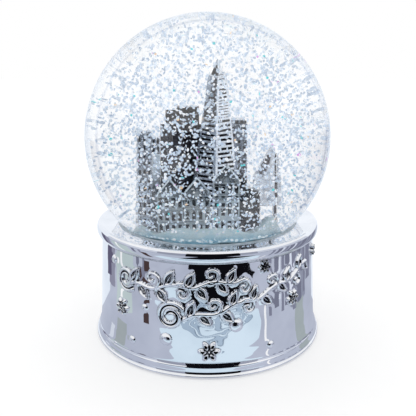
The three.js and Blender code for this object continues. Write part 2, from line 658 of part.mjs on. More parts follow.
part('bedplate', bedplate(), ZINC);
part('spring_barrel', springBarrel(), BRASS);
part('barrel_cover', barrelCover(), BRASS);
part('mainspring', mainspring(), STEEL);
part('winding_arbor', windingArbor(), STEEL);
part('winding_key', windingKey(), CHROME);
part('barrel_bridge', barrelBridge(), STEEL);
BRIDGE_SCREWS.forEach((place, i) => {
  part(`bridge_screw_${i + 1}`, screwDown(place, 29.8, 28.6, 14.3), STEEL);
});
part('pinned_cylinder', pinnedCylinder(), BRASS);
part('comb', comb(), STEEL);
COMB_SCREWS.forEach((place, i) => {
  part(`comb_screw_${i + 1}`, screwDown(place, 24.1, 22.9, 14.3), STEEL);
});
part('governor_wheel', governorWheel(), BRASS);
part('fly_shaft', flyShaft(), STEEL);
part('governor_bracket', governorBracket(), ZINC);

export default group;
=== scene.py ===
"""The looks of the musical snow globe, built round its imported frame.

Shapes are worked out in millimetres and turned into metres as each mesh is made.
+Z is up and the front is -Y.
"""

import json
import math

import bmesh
import bpy
import numpy as np
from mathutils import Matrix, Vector

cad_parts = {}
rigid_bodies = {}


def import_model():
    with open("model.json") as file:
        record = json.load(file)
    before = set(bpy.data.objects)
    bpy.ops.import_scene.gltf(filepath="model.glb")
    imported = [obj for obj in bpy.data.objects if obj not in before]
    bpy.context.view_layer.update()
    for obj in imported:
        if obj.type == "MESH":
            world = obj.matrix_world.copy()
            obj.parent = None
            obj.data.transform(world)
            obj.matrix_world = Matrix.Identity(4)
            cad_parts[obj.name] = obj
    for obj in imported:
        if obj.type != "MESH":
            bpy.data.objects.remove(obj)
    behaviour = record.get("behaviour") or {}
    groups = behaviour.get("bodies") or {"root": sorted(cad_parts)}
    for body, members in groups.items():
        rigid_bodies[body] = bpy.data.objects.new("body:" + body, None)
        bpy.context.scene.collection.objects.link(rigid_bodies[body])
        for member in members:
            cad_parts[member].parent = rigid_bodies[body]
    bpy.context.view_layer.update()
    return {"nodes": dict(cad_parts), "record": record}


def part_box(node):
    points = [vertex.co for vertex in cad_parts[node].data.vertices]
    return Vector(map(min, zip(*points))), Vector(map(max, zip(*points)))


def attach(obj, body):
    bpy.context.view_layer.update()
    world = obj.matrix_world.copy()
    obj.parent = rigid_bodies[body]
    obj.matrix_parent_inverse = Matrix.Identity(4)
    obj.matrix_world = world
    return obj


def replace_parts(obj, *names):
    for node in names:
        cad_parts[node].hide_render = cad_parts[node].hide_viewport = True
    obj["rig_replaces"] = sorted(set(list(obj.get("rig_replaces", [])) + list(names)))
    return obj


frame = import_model()

MM = 0.001
SEED = 20


def box_mm(node):
    """The lowest and highest corners of a CAD node, in millimetres."""
    low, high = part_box(node)
    return low / MM, high / MM


GLASS_LOW, GLASS_HIGH = box_mm("glass_globe")
SHELL_LOW, SHELL_HIGH = box_mm("base_shell")
MOUND_LOW, MOUND_HIGH = box_mm("snow_mound")

GLOBE_R = (GLASS_HIGH.x - GLASS_LOW.x) / 2
GLOBE_Z = GLASS_HIGH.z - GLOBE_R
GLASS_WALL = 2.0
INNER_R = GLOBE_R - GLASS_WALL
NECK_R = 28.6
NECK_WALL = 2.2
GROUND_Z = MOUND_HIGH.z
MOUND_R = MOUND_HIGH.x
FOOT_R = SHELL_HIGH.x
SHELL_BOTTOM = SHELL_LOW.z
RIM_TOP = SHELL_HIGH.z


# ---------------------------------------------------------------- mesh helpers

def finish_mesh(name, mesh, material, sharp_angle=None):
    """Links a mesh made in millimetres as an object in metres."""
    mesh.transform(((MM, 0, 0, 0), (0, MM, 0, 0), (0, 0, MM, 0), (0, 0, 0, 1)))
    mesh.materials.append(material)
    mesh.polygons.foreach_set("use_smooth", [True] * len(mesh.polygons))
    if sharp_angle is not None:
        mesh.set_sharp_from_angle(angle=math.radians(sharp_angle))
    mesh.update()
    piece = bpy.data.objects.new(name, mesh)
    bpy.context.scene.collection.objects.link(piece)
    return piece


def mesh_from(name, verts, faces, material, sharp_angle=None, weld=1e-4, sunken=None):
    """A piece from corners and faces, with doubled corners welded and faces turned outwards."""
    mesh = bpy.data.meshes.new(name)
    mesh.from_pydata([tuple(v) for v in verts], [], faces)
    if sunken is not None:
        layer = mesh.attributes.new("sunken", "FLOAT", "FACE")
        layer.data.foreach_set("value", [float(i in sunken) for i in range(len(faces))])
    work = bmesh.new()
    work.from_mesh(mesh)
    if weld:
        bmesh.ops.remove_doubles(work, verts=work.verts, dist=weld)
        bmesh.ops.dissolve_degenerate(work, edges=work.edges, dist=weld / 2)
    bmesh.ops.recalc_face_normals(work, faces=work.faces)
    work.to_mesh(mesh)
    work.free()
    return finish_mesh(name, mesh, material, sharp_angle)


def ring_grid(name, points, material, sharp_angle=None):
    """A closed ring of quads from points[row, step], both ways round, with no seam."""
    rows, steps = points.shape[:2]
    index = np.arange(rows * steps).reshape(rows, steps)
    across = np.roll(index, -1, axis=1)
    up = np.roll(index, -1, axis=0)
    quads = np.stack([index, across, np.roll(up, -1, axis=1), up], axis=-1).reshape(-1, 4)
    mesh = bpy.data.meshes.new(name)
    mesh.vertices.add(rows * steps)
    mesh.vertices.foreach_set("co", points.reshape(-1))
    mesh.loops.add(quads.size)
    mesh.loops.foreach_set("vertex_index", quads.reshape(-1))
    mesh.polygons.add(len(quads))
    mesh.polygons.foreach_set("loop_start", np.arange(0, quads.size, 4))
    mesh.update(calc_edges=True)
    return finish_mesh(name, mesh, material, sharp_angle)


def turned(name, profile, material, steps=128, sharp_angle=40):
    """A solid of revolution from an outline of (radius, z). Its ends lie on the axis or meet each other."""
    angles = np.linspace(0, 2 * np.pi, steps, endpoint=False)
    verts, faces = [], []
    for radius, z in profile:
        verts += [(radius * math.cos(a), radius * math.sin(a), z) for a in angles]
    for row in range(len(profile) - 1):
        for step in range(steps):
            after = (step + 1) % steps
            low, high = row * steps, (row + 1) * steps
            faces.append((low + step, low + after, high + after, high + step))
    return mesh_from(name, verts, faces, material, sharp_angle)


def arc(centre, radius, start, end, steps):
    """Points of an arc in a profile, angles in degrees from the +radius direction."""
    angles = np.radians(np.linspace(start, end, steps + 1))
    return [(centre[0] + radius * math.cos(a), centre[1] + radius * math.sin(a)) for a in angles]


def bowl(radius, start_r, end_r, steps):
    """Part of the lower half of a sphere round the globe's centre, between two radii from the axis."""
    start, end = (-math.degrees(math.acos(r / radius)) for r in (start_r, end_r))
    return arc((0, GLOBE_Z), radius, start, end, steps)


# ---------------------------------------------------------------- materials

def new_material(name):
    material = bpy.data.materials.new(name)
    material.use_nodes = True
    nodes = material.node_tree.nodes
    return material, nodes, material.node_tree.links, nodes["Principled BSDF"]


def set_inputs(node, values):
    """Sets the plain values of a node's inputs, given by name."""
    for name, value in values.items():
        node.inputs[name].default_value = value


def noise(nodes, links, scale, detail=3.0, roughness=0.55):
    """A noise texture in object space."""
    place = nodes.new("ShaderNodeTexCoord")
    texture = nodes.new("ShaderNodeTexNoise")
    set_inputs(texture, {"Scale": scale, "Detail": detail, "Roughness": roughness})
    links.new(place.outputs["Object"], texture.inputs["Vector"])
    return texture.outputs["Fac"]


def ramp(nodes, links, factor, stops):
    """A colour ramp from (position, colour) stops."""
    node = nodes.new("ShaderNodeValToRGB")
    elements = node.color_ramp.elements
    while len(elements) < len(stops):
        elements.new(0.5)
    for element, (position, color) in zip(elements, stops):
        element.position = position
        element.color = (*color, 1)
    links.new(factor, node.inputs["Fac"])
    return node.outputs["Color"]


def remap(nodes, links, value, source, target):
    """A value, mapped from one range to another and held inside it."""
    node = nodes.new("ShaderNodeMapRange")
    set_inputs(node, {"From Min": source[0], "From Max": source[1], "To Min": target[0], "To Max": target[1]})
    links.new(value, node.inputs["Value"])
    return node.outputs["Result"]


def spread(nodes, links, factor, low, high):
    """A noise, whose values mostly lie between 0.3 and 0.7, mapped to low..high."""
    return remap(nodes, links, factor, (0.3, 0.7), (low, high))


def bump(nodes, links, factor, strength, distance):
    node = nodes.new("ShaderNodeBump")
    set_inputs(node, {"Strength": strength, "Distance": distance})
    links.new(factor, node.inputs["Height"])
    return node.outputs["Normal"]


def arithmetic(nodes, links, operation, *values):
    """A sum or product of numbers and other nodes' outputs."""
    node = nodes.new("ShaderNodeMath")
    node.operation = operation
    for socket, value in zip(node.inputs, values):
        if isinstance(value, (int, float)):
            socket.default_value = value
        else:
            links.new(value, socket)
    return node.outputs[0]


def multiplied(nodes, links, first, second):
    """The product of two colours."""
    node = nodes.new("ShaderNodeMix")
    node.data_type = "RGBA"
    node.blend_type = "MULTIPLY"
    node.inputs["Factor"].default_value = 1.0
    links.new(first, node.inputs[6])
    links.new(second, node.inputs[7])
    return node.outputs[2]


def own_place(nodes, links, axis):
    """The place along one of the object's own axes, in metres."""
    split = nodes.new("ShaderNodeSeparateXYZ")
    links.new(nodes.new("ShaderNodeTexCoord").outputs["Object"], split.inputs[0])
    return split.outputs[axis]


def openness(nodes, distance, samples):
    """1 on open surfaces and less in hollows up to the distance wide."""
    node = nodes.new("ShaderNodeAmbientOcclusion")
    node.samples = samples
    node.inputs["Distance"].default_value = distance
    return node.outputs["AO"]


def grained(name, dark, light, roughness, scale, grain, strength, depth):
    """A surface whose colour and gloss vary a little. The grain is (times finer, detail)."""
    material, nodes, links, shader = new_material(name)
    cloud = noise(nodes, links, scale)
    links.new(ramp(nodes, links, cloud, [(0.35, dark), (0.65, light)]), shader.inputs["Base Color"])
    links.new(spread(nodes, links, cloud, *roughness), shader.inputs["Roughness"])
    texture = noise(nodes, links, scale * grain[0], grain[1])
    links.new(bump(nodes, links, texture, strength, depth), shader.inputs["Normal"])
    return material


def metal(name, dark, light, roughness, scale=300.0, bump_strength=0.05):
    material = grained(name, dark, light, roughness, scale, (6, 2.0), bump_strength, 0.0001)
    material.node_tree.nodes["Principled BSDF"].inputs["Metallic"].default_value = 1.0
    return material


def matt(name, dark, light, roughness, scale, bump_strength, bump_distance=0.0002):
    """Felt, rubber, paint or cast resin."""
    return grained(name, dark, light, roughness, scale, (4, 4.0), bump_strength, bump_distance)


def chrome_plating():
    """Bright plating, with painted shade that darkens it along the foot of the raised ornament."""
    material = metal("chrome_plating", (0.80, 0.82, 0.86), (0.90, 0.91, 0.94), (0.015, 0.04), 60.0, 0.02)
    nodes, links = material.node_tree.nodes, material.node_tree.links
    base_color = nodes["Principled BSDF"].inputs["Base Color"]
    # painted shade: ambient occlusion darkens the plating in the hollows round the ornament
    hollows = openness(nodes, 0.0009, 8)
    hollows.node.only_local = True
    shade = ramp(nodes, links, hollows, [(0.62, (0.03, 0.03, 0.04)), (0.88, (1, 1, 1))])
    links.new(multiplied(nodes, links, base_color.links[0].from_socket, shade), base_color)
    return material


def silvered_casting(name, dark, light, metallic=1.0):
    """Bright plating on a small casting, with painted shade that darkens its hollows and makes its sunken windows
    nearly black.
    """
    material, nodes, links, shader = new_material(name)
    cloud = noise(nodes, links, 700.0)
    tone = ramp(nodes, links, cloud, [(0.3, dark), (0.7, light)])
    # painted shade: ambient occlusion darkens the casting in its hollows
    shade = ramp(nodes, links, openness(nodes, 0.0015, 4), [(0.5, (0.03, 0.03, 0.035)), (0.8, (1, 1, 1))])
    # painted shade: the sunken window faces are made nearly black
    sunken = nodes.new("ShaderNodeAttribute")
    sunken.attribute_name = "sunken"
    sunken_shade = nodes.new("ShaderNodeMix")
    sunken_shade.data_type = "RGBA"
    links.new(sunken.outputs["Fac"], sunken_shade.inputs["Factor"])
    links.new(multiplied(nodes, links, tone, shade), sunken_shade.inputs[6])
    sunken_shade.inputs[7].default_value = (0.02, 0.018, 0.022, 1)
    links.new(sunken_shade.outputs[2], shader.inputs["Base Color"])
    links.new(spread(nodes, links, cloud, 0.05, 0.16), shader.inputs["Roughness"])
    edges = nodes.new("ShaderNodeBevel")
    edges.samples = 4
    edges.inputs["Radius"].default_value = 0.0002
    normal = bump(nodes, links, noise(nodes, links, 1500.0, 2.0), 0.3, 0.0001)
    links.new(edges.outputs["Normal"], normal.node.inputs["Normal"])
    links.new(normal, shader.inputs["Normal"])
    shader.inputs["Metallic"].default_value = metallic
    return material


LINE_SHIFT = -1.95  # how far the painted shade line in the glass moves from one side to the other


def painted_shade_line(nodes, links, tint, facing, line):
    """A thin grey line of painted shade in the glass, nearer the edge on the right than on the left."""
    place = arithmetic(nodes, links, "MULTIPLY_ADD", own_place(nodes, links, "X"), LINE_SHIFT, facing)
    white = (1, 1, 1)
    stroke = ramp(nodes, links, place, [
        (0.0, white), (0.625, white), (0.65, line), (0.665, line), (0.69, white), (1.0, white),
    ])
    return multiplied(nodes, links, tint, stroke)


def clear(name, ior, centre, edge, scale, line=None):
    """A clear body, tinted towards its edge, with an optional line of painted shade."""
    material, nodes, links, shader = new_material(name)
    facing = nodes.new("ShaderNodeLayerWeight")
    facing.inputs["Blend"].default_value = 0.5
    tint = ramp(nodes, links, facing.outputs["Facing"], [(0.0, centre), (0.62, centre), (0.97, edge)])
    if line:
        tint = painted_shade_line(nodes, links, tint, facing.outputs["Facing"], line)
    faint = ramp(nodes, links, noise(nodes, links, scale, 1.0), [(0.3, (0.985, 0.99, 1.0)), (0.7, (1, 1, 1))])
    links.new(multiplied(nodes, links, tint, faint), shader.inputs["Base Color"])
    set_inputs(shader, {"Roughness": 0.0, "IOR": ior, "Transmission Weight": 1.0})
    return material


def flake_material(name, stops):
    """Pearly flakes, each in a shade of its own, that glow a little as painted light."""
    material, nodes, links, shader = new_material(name)
    shade = ramp(nodes, links, nodes.new("ShaderNodeNewGeometry").outputs["Random Per Island"], stops)
    shade.node.color_ramp.interpolation = "CONSTANT"
    links.new(shade, shader.inputs["Base Color"])
    links.new(spread(nodes, links, noise(nodes, links, 900.0), 0.2, 0.45), shader.inputs["Roughness"])
    # painted light: the flakes glow in their own shade
    links.new(shade, shader.inputs["Emission Color"])
    shader.inputs["Emission Strength"].default_value = 0.5
    return material


def packed_snow():
    """Snow with painted shade: darker and deeper blue towards its foot, lighter towards its top."""
    material, nodes, links, shader = new_material("snow")
    # painted shade: the colour darkens towards the foot of the snow and lightens towards its top
    height = remap(nodes, links, own_place(nodes, links, "Z"), (0.0455, 0.0535), (0, 0.7))
    cloud = noise(nodes, links, 230.0, 4.0)
    color = ramp(nodes, links, arithmetic(nodes, links, "MULTIPLY_ADD", cloud, 0.6, height), [
        (0.2, (0.06, 0.27, 0.38)), (0.45, (0.16, 0.48, 0.64)),
        (0.7, (0.36, 0.74, 0.90)), (1.0, (0.80, 0.98, 1.0)),
    ])
    links.new(color, shader.inputs["Base Color"])
    links.new(spread(nodes, links, cloud, 0.35, 0.6), shader.inputs["Roughness"])
    set_inputs(shader, {"Coat Weight": 0.5, "Coat Roughness": 0.12})
    links.new(bump(nodes, links, noise(nodes, links, 900.0), 0.4, 0.0002), shader.inputs["Normal"])
    return material


# ---------------------------------------------------------------- stage

CAMERA_PLACE = (0.0, -231.0, 114.8)
CAMERA_PITCH = 15.06
LENS = 48.18
FRAME_SHIFT = 0.0012


def add_camera():
    data = bpy.data.cameras.new("camera")
    data.sensor_width = 36
    data.lens = LENS
    data.shift_x = FRAME_SHIFT
    data.clip_start = 0.01
    camera = bpy.data.objects.new("camera", data)
    camera.location = [value * MM for value in CAMERA_PLACE]
    camera.rotation_euler = (math.radians(90 - CAMERA_PITCH), 0, 0)
    bpy.context.scene.collection.objects.link(camera)
    bpy.context.scene.camera = camera


def glow(name, color, strength):
    material = bpy.data.materials.new(name)
    material.use_nodes = True
    nodes = material.node_tree.nodes
    nodes.clear()
    emission = nodes.new("ShaderNodeEmission")
    set_inputs(emission, {"Color": (*color, 1), "Strength": strength})
    output = nodes.new("ShaderNodeOutputMaterial")
    material.node_tree.links.new(emission.outputs[0], output.inputs["Surface"])
    return material


def card_nodes(piece):
    """The nodes and links of a card's material, and its emission."""
    tree = piece.data.materials[0].node_tree
    return tree.nodes, tree.links, tree.nodes["Emission"]


def card(name, corners, color, strength=1.0):
    """A coloured card that only the mirror finishes see."""
    mesh = bpy.data.meshes.new(name)
    verts = [[value * MM for value in corner] for corner in corners]
    mesh.from_pydata(verts, [], [tuple(range(len(corners)))])
    mesh.materials.append(glow(name, color, strength))
    piece = bpy.data.objects.new(name, mesh)
    bpy.context.scene.collection.objects.link(piece)
    piece.visible_camera = False
    piece.visible_diffuse = False
    piece.visible_transmission = False
    piece.visible_shadow = False
    return piece


def floor_card(name, corners, color, depth):
    return card(name, [(x, y, depth) for x, y in corners], color)


def upright(start, end, foot, head):
    """The corners of a wall from one place on the floor to another."""
    return [(*start, foot), (*end, foot), (*end, head), (*start, head)]


def inner_card(name, corners, color):
    """A card seen only by light that the silvered city has mirrored and that has come through the glass."""
    piece = card(name, corners, color)
    piece.visible_transmission = True
    piece.visible_glossy = False
    nodes, links, emission = card_nodes(piece)
    depth = nodes.new("ShaderNodeLightPath").outputs["Glossy Depth"]
    mix = nodes.new("ShaderNodeMixShader")
    links.new(arithmetic(nodes, links, "GREATER_THAN", depth, 0.5), mix.inputs[0])
    links.new(nodes.new("ShaderNodeBsdfTransparent").outputs[0], mix.inputs[1])
    links.new(emission.outputs[0], mix.inputs[2])
    links.new(mix.outputs[0], nodes["Material Output"].inputs["Surface"])


FLOOR_SIZE = 3.0
FLOOR_Z = -0.00005


def add_floor():
    """A pale table, clear from below. The mirror finishes see the cards under it instead."""
    mesh = bpy.data.meshes.new("floor")
    corners = [(x, y, FLOOR_Z) for x, y in rectangle(-FLOOR_SIZE, FLOOR_SIZE, -FLOOR_SIZE, FLOOR_SIZE)]
    mesh.from_pydata(corners, [], [(0, 1, 2, 3)])
    material, nodes, links, shader = new_material("floor")
    set_inputs(shader, {
        "Base Color": (0.72, 0.72, 0.72, 1), "Roughness": 0.9, "Specular IOR Level": 0.0,
        "Emission Color": (1, 1, 1, 1), "Emission Strength": 0.31,
    })
    one_sided = nodes.new("ShaderNodeMixShader")
    links.new(nodes.new("ShaderNodeNewGeometry").outputs["Backfacing"], one_sided.inputs[0])
    links.new(shader.outputs[0], one_sided.inputs[1])
    links.new(nodes.new("ShaderNodeBsdfTransparent").outputs[0], one_sided.inputs[2])
    links.new(one_sided.outputs[0], nodes["Material Output"].inputs["Surface"])
    mesh.materials.append(material)
    floor = bpy.data.objects.new("floor", mesh)
    bpy.context.scene.collection.objects.link(floor)
    floor.visible_glossy = False


WHITE = (1, 1, 1)
LAVENDER = (0.45, 0.48, 0.58)
SHADE = (0.24, 0.25, 0.33)
DEEP_SHADE = (0.20, 0.21, 0.28)
DARK = (0.004, 0.004, 0.006)
ICE = (0.71, 0.84, 0.94)
ROOM = (0.42, 0.45, 0.56)


def rectangle(x0, x1, y0, y1):
    return [(x0, y0), (x1, y0), (x1, y1), (x0, y1)]


def scaled_place(nodes, links, x_scale):
    """The object's own place, with lengths along X scaled."""
    node = nodes.new("ShaderNodeMapping")
    node.inputs["Scale"].default_value = (x_scale, 1.0, 1.0)
    links.new(nodes.new("ShaderNodeTexCoord").outputs["Object"], node.inputs["Vector"])
    return node.outputs["Vector"]


def marbled_ice(piece):
    """Turns the front card into ice with thin dark swirls in its middle."""
    nodes, links, emission = card_nodes(piece)
    middle = nodes.new("ShaderNodeVectorMath")
    middle.operation = "DISTANCE"
    middle.inputs[1].default_value = (0.002, -0.106, 0)
    links.new(scaled_place(nodes, links, 0.42), middle.inputs[0])
    swirl = noise(nodes, links, 74.0, 1.0)
    links.new(scaled_place(nodes, links, 0.30), swirl.node.inputs["Vector"])
    gather = remap(nodes, links, middle.outputs["Value"], (0.020, 0.038), (0.0, 0.5))
    line, fill = (0.13, 0.18, 0.26), (0.42, 0.53, 0.65)
    color = ramp(nodes, links, arithmetic(nodes, links, "ADD", swirl, gather), [
        (0.0, ICE), (0.38, ICE), (0.392, line), (0.405, fill), (0.45, fill), (0.462, line), (0.475, ICE),
        (0.52, ICE), (0.532, line), (0.545, fill), (0.60, fill), (0.612, line), (0.63, ICE),
    ])
    links.new(color, emission.inputs["Color"])


def soft_patches(piece, color, other):
    """Lets a card's colour drift towards another one in wide soft patches."""
    nodes, links, emission = card_nodes(piece)
    patches = ramp(nodes, links, noise(nodes, links, 11.0, 2.0), [(0.3, color), (0.7, other)])
    links.new(patches, emission.inputs["Color"])


WALL_MEAN_R = 45.5
STREAK_END = 900


def streak(name, azimuth, half_width, near, far, color, depth=-3):
    """A floor card that the wall mirrors as an upright streak. Angles are those of the mirrored rays."""
    corners = []
    for angle, distances in ((azimuth - half_width, (near, far)), (azimuth + half_width, (far, near))):
        turn = math.radians(angle)
        wall = math.radians((angle - math.copysign(9, angle)) / 2)  # where on the wall the ray is mirrored
        start = (WALL_MEAN_R * math.sin(wall), -WALL_MEAN_R * math.cos(wall))
        for reach in distances:
            corners.append((start[0] + reach * math.sin(turn), start[1] - reach * math.cos(turn)))
    floor_card(name, corners, color, depth)


def add_streaks():
    """The upright streaks of a furnished room, in the wall of the base."""
    for row in (
        ("card_violet_left", -128, 5, 96, STREAK_END, (0.13, 0.12, 0.19)),
        ("card_violet_soft", -121, 7, 88, STREAK_END, (0.30, 0.30, 0.39), -4),
        ("card_green_left", -97, 13, 60, STREAK_END, (0.54, 0.63, 0.63)),
        ("card_line_left", -102, 1.6, 62, STREAK_END, WHITE, -2),
        ("card_green_near", -100, 8, 26, 46, (0.40, 0.44, 0.45)),
        ("card_pale_near", -116, 4, 22, 36, (0.72, 0.76, 0.84)),
        ("card_violet_right", 134, 6, 88, STREAK_END, SHADE),
        ("card_green_right", 112, 9, 16, 70, (0.40, 0.45, 0.46)),
        ("card_line_right", 62, 1.1, 18, 80, WHITE),
    ):
        streak(*row)
    narrow = ((68, 1.6, 66), (76, 3.0, 74), (85, 2.0, 64), (92, 3.6, 70), (102, 3.2, 62), (112, 4.2, 68),
              (123, 2.6, 74), (-78, 2.0, 110), (-70, 1.5, 120))
    for number, (azimuth, half_width, near) in enumerate(narrow):
        color = SHADE if number % 2 == 0 else DEEP_SHADE
        streak(f"card_streak_{number}", azimuth, half_width, near, STREAK_END, color)
    streak("card_shade_right", 110, 16, 70, STREAK_END, (0.31, 0.33, 0.42), -4)
    streak("card_pale_right", 97, 1.6, 80, STREAK_END, (0.78, 0.82, 0.92))
    streak("card_pale_right_2", 80, 1.4, 84, STREAK_END, (0.74, 0.78, 0.88))


def add_cards():
    """What the mirror finishes see of the room: a pale back, ice before the base and a dark front."""
    surround = floor_card("card_surround", rectangle(-2500, 2500, -2500, 2500), LAVENDER, -6)
    soft_patches(surround, LAVENDER, (0.56, 0.60, 0.71))
    back = [(-105, 24), (-161, 62), (-2500, 1500), (-2500, 2500), (2500, 2500), (1100, 1750), (119, 112),
            (73, 35), (50, 32), (-50, 26)]
    floor_card("card_back", back, (0.86, 0.92, 1.0), -5)
    add_streaks()
    front = [(-6, -54), (-14, -61), (-25.6, -67), (-40, -71.5), (-54.5, -76), (-67, -80), (-78, -84),
             (-93, -91), (-112, -132), (115, -132), (105, -104), (81, -87), (67, -72.5), (50, -64),
             (38, -65), (26, -67), (12, -57)]
    marbled_ice(floor_card("card_front", front, ICE, -2))
    streak("card_rust", -66, 3.4, 50, 170, (0.07, 0.045, 0.045), -1)
    floor_card("card_dark_floor", rectangle(-60, 125, -420, -132), DARK, -2)
    card("card_dark_front", upright((-150, -420), (240, -420), -2, 250), DARK)
    card("card_room_front", upright((-900, -800), (900, -800), -2, 400), (0.34, 0.36, 0.44))
    card("card_room_left", upright((-900, -800), (-900, 200), -2, 95), ROOM)
    card("card_room_right", upright((900, -800), (900, 200), -2, 95), ROOM)
    card("card_back_wall", upright((-3000, 1500), (3000, 1500), -2, 1200), (0.93, 0.96, 1.0), 1.05)
    # what the silvered city mirrors, through the glass
    inner_card("inner_front", [(-150, -700, 0.4), (150, -700, 0.4), (80, -90, 0.4), (-110, -90, 0.4)], DARK)
    inner_card("inner_wall", upright((-400, -700), (260, -700), 0, 260), (0.022, 0.024, 0.03))
    inner_card("inner_left", upright((-420, -420), (-420, 120), 1, 210), (0.22, 0.25, 0.29))


def add_world():
    """White all round. The mirror finishes see bands of grey near the horizon instead, and white above."""
    world = bpy.data.worlds.new("world")
    bpy.context.scene.world = world
    world.use_nodes = True
    nodes, links = world.node_tree.nodes, world.node_tree.links
    nodes.clear()
    path = nodes.new("ShaderNodeLightPath").outputs
    split = nodes.new("ShaderNodeSeparateXYZ")
    links.new(nodes.new("ShaderNodeTexCoord").outputs["Generated"], split.inputs[0])
    sky = ramp(nodes, links, remap(nodes, links, split.outputs["Z"], (-1, 1), (0, 1)), [
        (0.0, LAVENDER), (0.5, (0.46, 0.49, 0.59)), (0.53, (0.92, 0.95, 1)), (0.55, (0.40, 0.43, 0.54)),
        (0.575, (0.95, 0.97, 1)), (0.60, (0.48, 0.52, 0.63)), (0.64, (0.66, 0.71, 0.82)),
        (0.67, WHITE), (1.0, WHITE),
    ])
    mirrored, plain = nodes.new("ShaderNodeBackground"), nodes.new("ShaderNodeBackground")
    links.new(sky, mirrored.inputs["Color"])
    plain.inputs["Color"].default_value = (*WHITE, 1)
    reflected = arithmetic(nodes, links, "SUBTRACT", path["Is Glossy Ray"], path["Is Transmission Ray"])
    reflected.node.use_clamp = True
    mix = nodes.new("ShaderNodeMixShader")
    for socket, source in zip(mix.inputs, (reflected, plain.outputs[0], mirrored.outputs[0])):
        links.new(source, socket)
    links.new(mix.outputs[0], nodes.new("ShaderNodeOutputWorld").inputs["Surface"])


def area_light(name, place, aim, size, power):
    data = bpy.data.lights.new(name, "AREA")
    data.shape = "RECTANGLE"
    data.size, data.size_y = (value * MM for value in size)
    data.energy = power
    light = bpy.data.objects.new(name, data)
    light.visible_glossy = False
    light.location = [value * MM for value in place]
    toward = Vector(aim) - Vector(place)
    light.rotation_euler = toward.to_track_quat("-Z", "Y").to_euler()
    bpy.context.scene.collection.objects.link(light)


def add_stage():
    add_camera()
    add_floor()
    add_cards()
    add_world()
    area_light("top_light", (-60, 60, 700), (0, 0, 60), (600, 600), 0.5)
    bpy.context.scene.view_settings.view_transform = "Standard"


# ---------------------------------------------------------------- base: relief

WALL_REF_R = 45.6  # radius at which lengths round the wall are measured
HALF_ROUND = math.pi * WALL_REF_R
RELIEF = 1.0


def spiral(centre, start_r, end_r, start_angle, turns, steps=40):
    """A curl that winds in towards its centre. Negative turns wind clockwise."""
    angles = start_angle + np.linspace(0, 2 * np.pi * turns, steps)
    radii = np.linspace(start_r, end_r, steps)
    return np.stack([centre[0] + radii * np.cos(angles), centre[1] + radii * np.sin(angles)], axis=1)


def leaf(root, angle, length, width):
    """A pointed leaf, drawn as its outline and its midrib."""
    along = np.array([math.cos(angle), math.sin(angle)])
    across = np.array([-along[1], along[0]])
    share = np.linspace(0, 1, 14)
    strokes = []
    for side in (-1, 1):
        swell = side * width * np.sin(math.pi * share ** 0.85)
        edge = root + np.outer(length * share, along) + np.outer(swell, across)
        strokes.append((edge, LEAF_LINE, LEAF_LINE * 0.8))
    rib = np.linspace(0.1, 0.62, 5)
    strokes.append((root + np.outer(length * rib, along), LEAF_LINE * 0.6, LEAF_LINE * 0.4))
    return strokes


def garland(start, end, count, first_length, last_length):
    """A waving stem with leaves on both sides, every third one a curling tendril."""
    start, end = np.array(start, float), np.array(end, float)
    along = (end - start) / np.linalg.norm(end - start)
    across = np.array([-along[1], along[0]])
    slope = math.atan2(along[1], along[0])

    def stem(share):
        return start + (end - start) * share + across * 0.8 * math.sin(math.pi * count / 2 * share)

    strokes = [(np.array([stem(share) for share in np.linspace(0, 1, 12 * count)]), 0.85, 0.7)]
    for i in range(count):
        share = (i + 0.4) / count
        length = first_length + (last_length - first_length) * share
        side = 1 if i % 2 == 0 else -1
        root = stem(share)
        if i % 3 == 2:
            reach = 0.27 * length
            centre = root + across * side * (0.75 * length - reach) + along * 0.35 * length
            offset = root - centre
            bearing = math.atan2(offset[1], offset[0])
            curl = spiral(centre, float(np.hypot(*offset)), 0.3 * reach, bearing, side * 1.2)
            strokes.append((curl, 0.7, 0.55))
        else:
            strokes += leaf(root, slope + side * math.radians(56), length, 0.24 * length)
    return strokes


def scroll(centre, radius, start_angle, turns):
    """A large open scroll with a doubled line."""
    outer = spiral(centre, radius, 0.42 * radius, start_angle, turns)
    inner = spiral(centre, radius * 0.72, 0.2 * radius, start_angle + 0.3, turns * 0.9)
    return [(outer, 0.8, 0.65), (inner, 0.6, 0.45)]


LEAF_LINE = 0.62
FRONT_STROKES = (
    garland((-32.5, 32.6), (13.5, 38.0), 12, 7.0, 5.4)
    + garland((-8.5, 22.8), (46.0, 37.8), 14, 6.2, 5.2)
    + scroll((-13.6, 23.4), 5.6, 0.6, 1.35)
    + scroll((-33.5, 34.3), 4.9, 5.4, -1.2)
)
FLOWERS = [
    (-36.3, 21.9, 3.3), (0.6, 10.4, 3.8), (36.3, 25.6, 3.1), (57.0, 39.0, 2.4),
    (22.0, 41.2, 2.4),
]
PEARLS = [
    (-42.2, 39.4, 1.7), (-15.5, 13.9, 2.3), (10.5, 20.2, 2.5), (-30.5, 9.8, 1.6), (24.7, 9.6, 1.5),
    (-24.5, 24.6, 1.3),
]


def near_strokes(places, points, start_width, end_width):
    """The height that one stroke gives to each place: a rounded ridge on a soft skirt."""
    starts, ends = points[:-1], points[1:]
    widths = np.linspace(start_width, end_width, len(starts))
    height = np.zeros(len(places))
    reach = 3.2 * max(start_width, end_width)
    inside = np.all((places > points.min(0) - reach) & (places < points.max(0) + reach), axis=1)
    chosen = places[inside]
    if not len(chosen):
        return height
    best = np.zeros(len(chosen))
    for a, b, width in zip(starts, ends, widths):
        along = b - a
        share = np.clip((chosen - a) @ along / max(along @ along, 1e-9), 0, 1)
        far = np.linalg.norm(chosen - a - share[:, None] * along, axis=1) / width
        ridge = RELIEF * np.sqrt(np.clip(1 - far ** 2, 0, 1)) * min(1, width / 0.5)
        skirt = 0.10 * np.exp(-((far / 1.9) ** 2))
        best = np.maximum(best, ridge + skirt)
    height[inside] = best
    return height


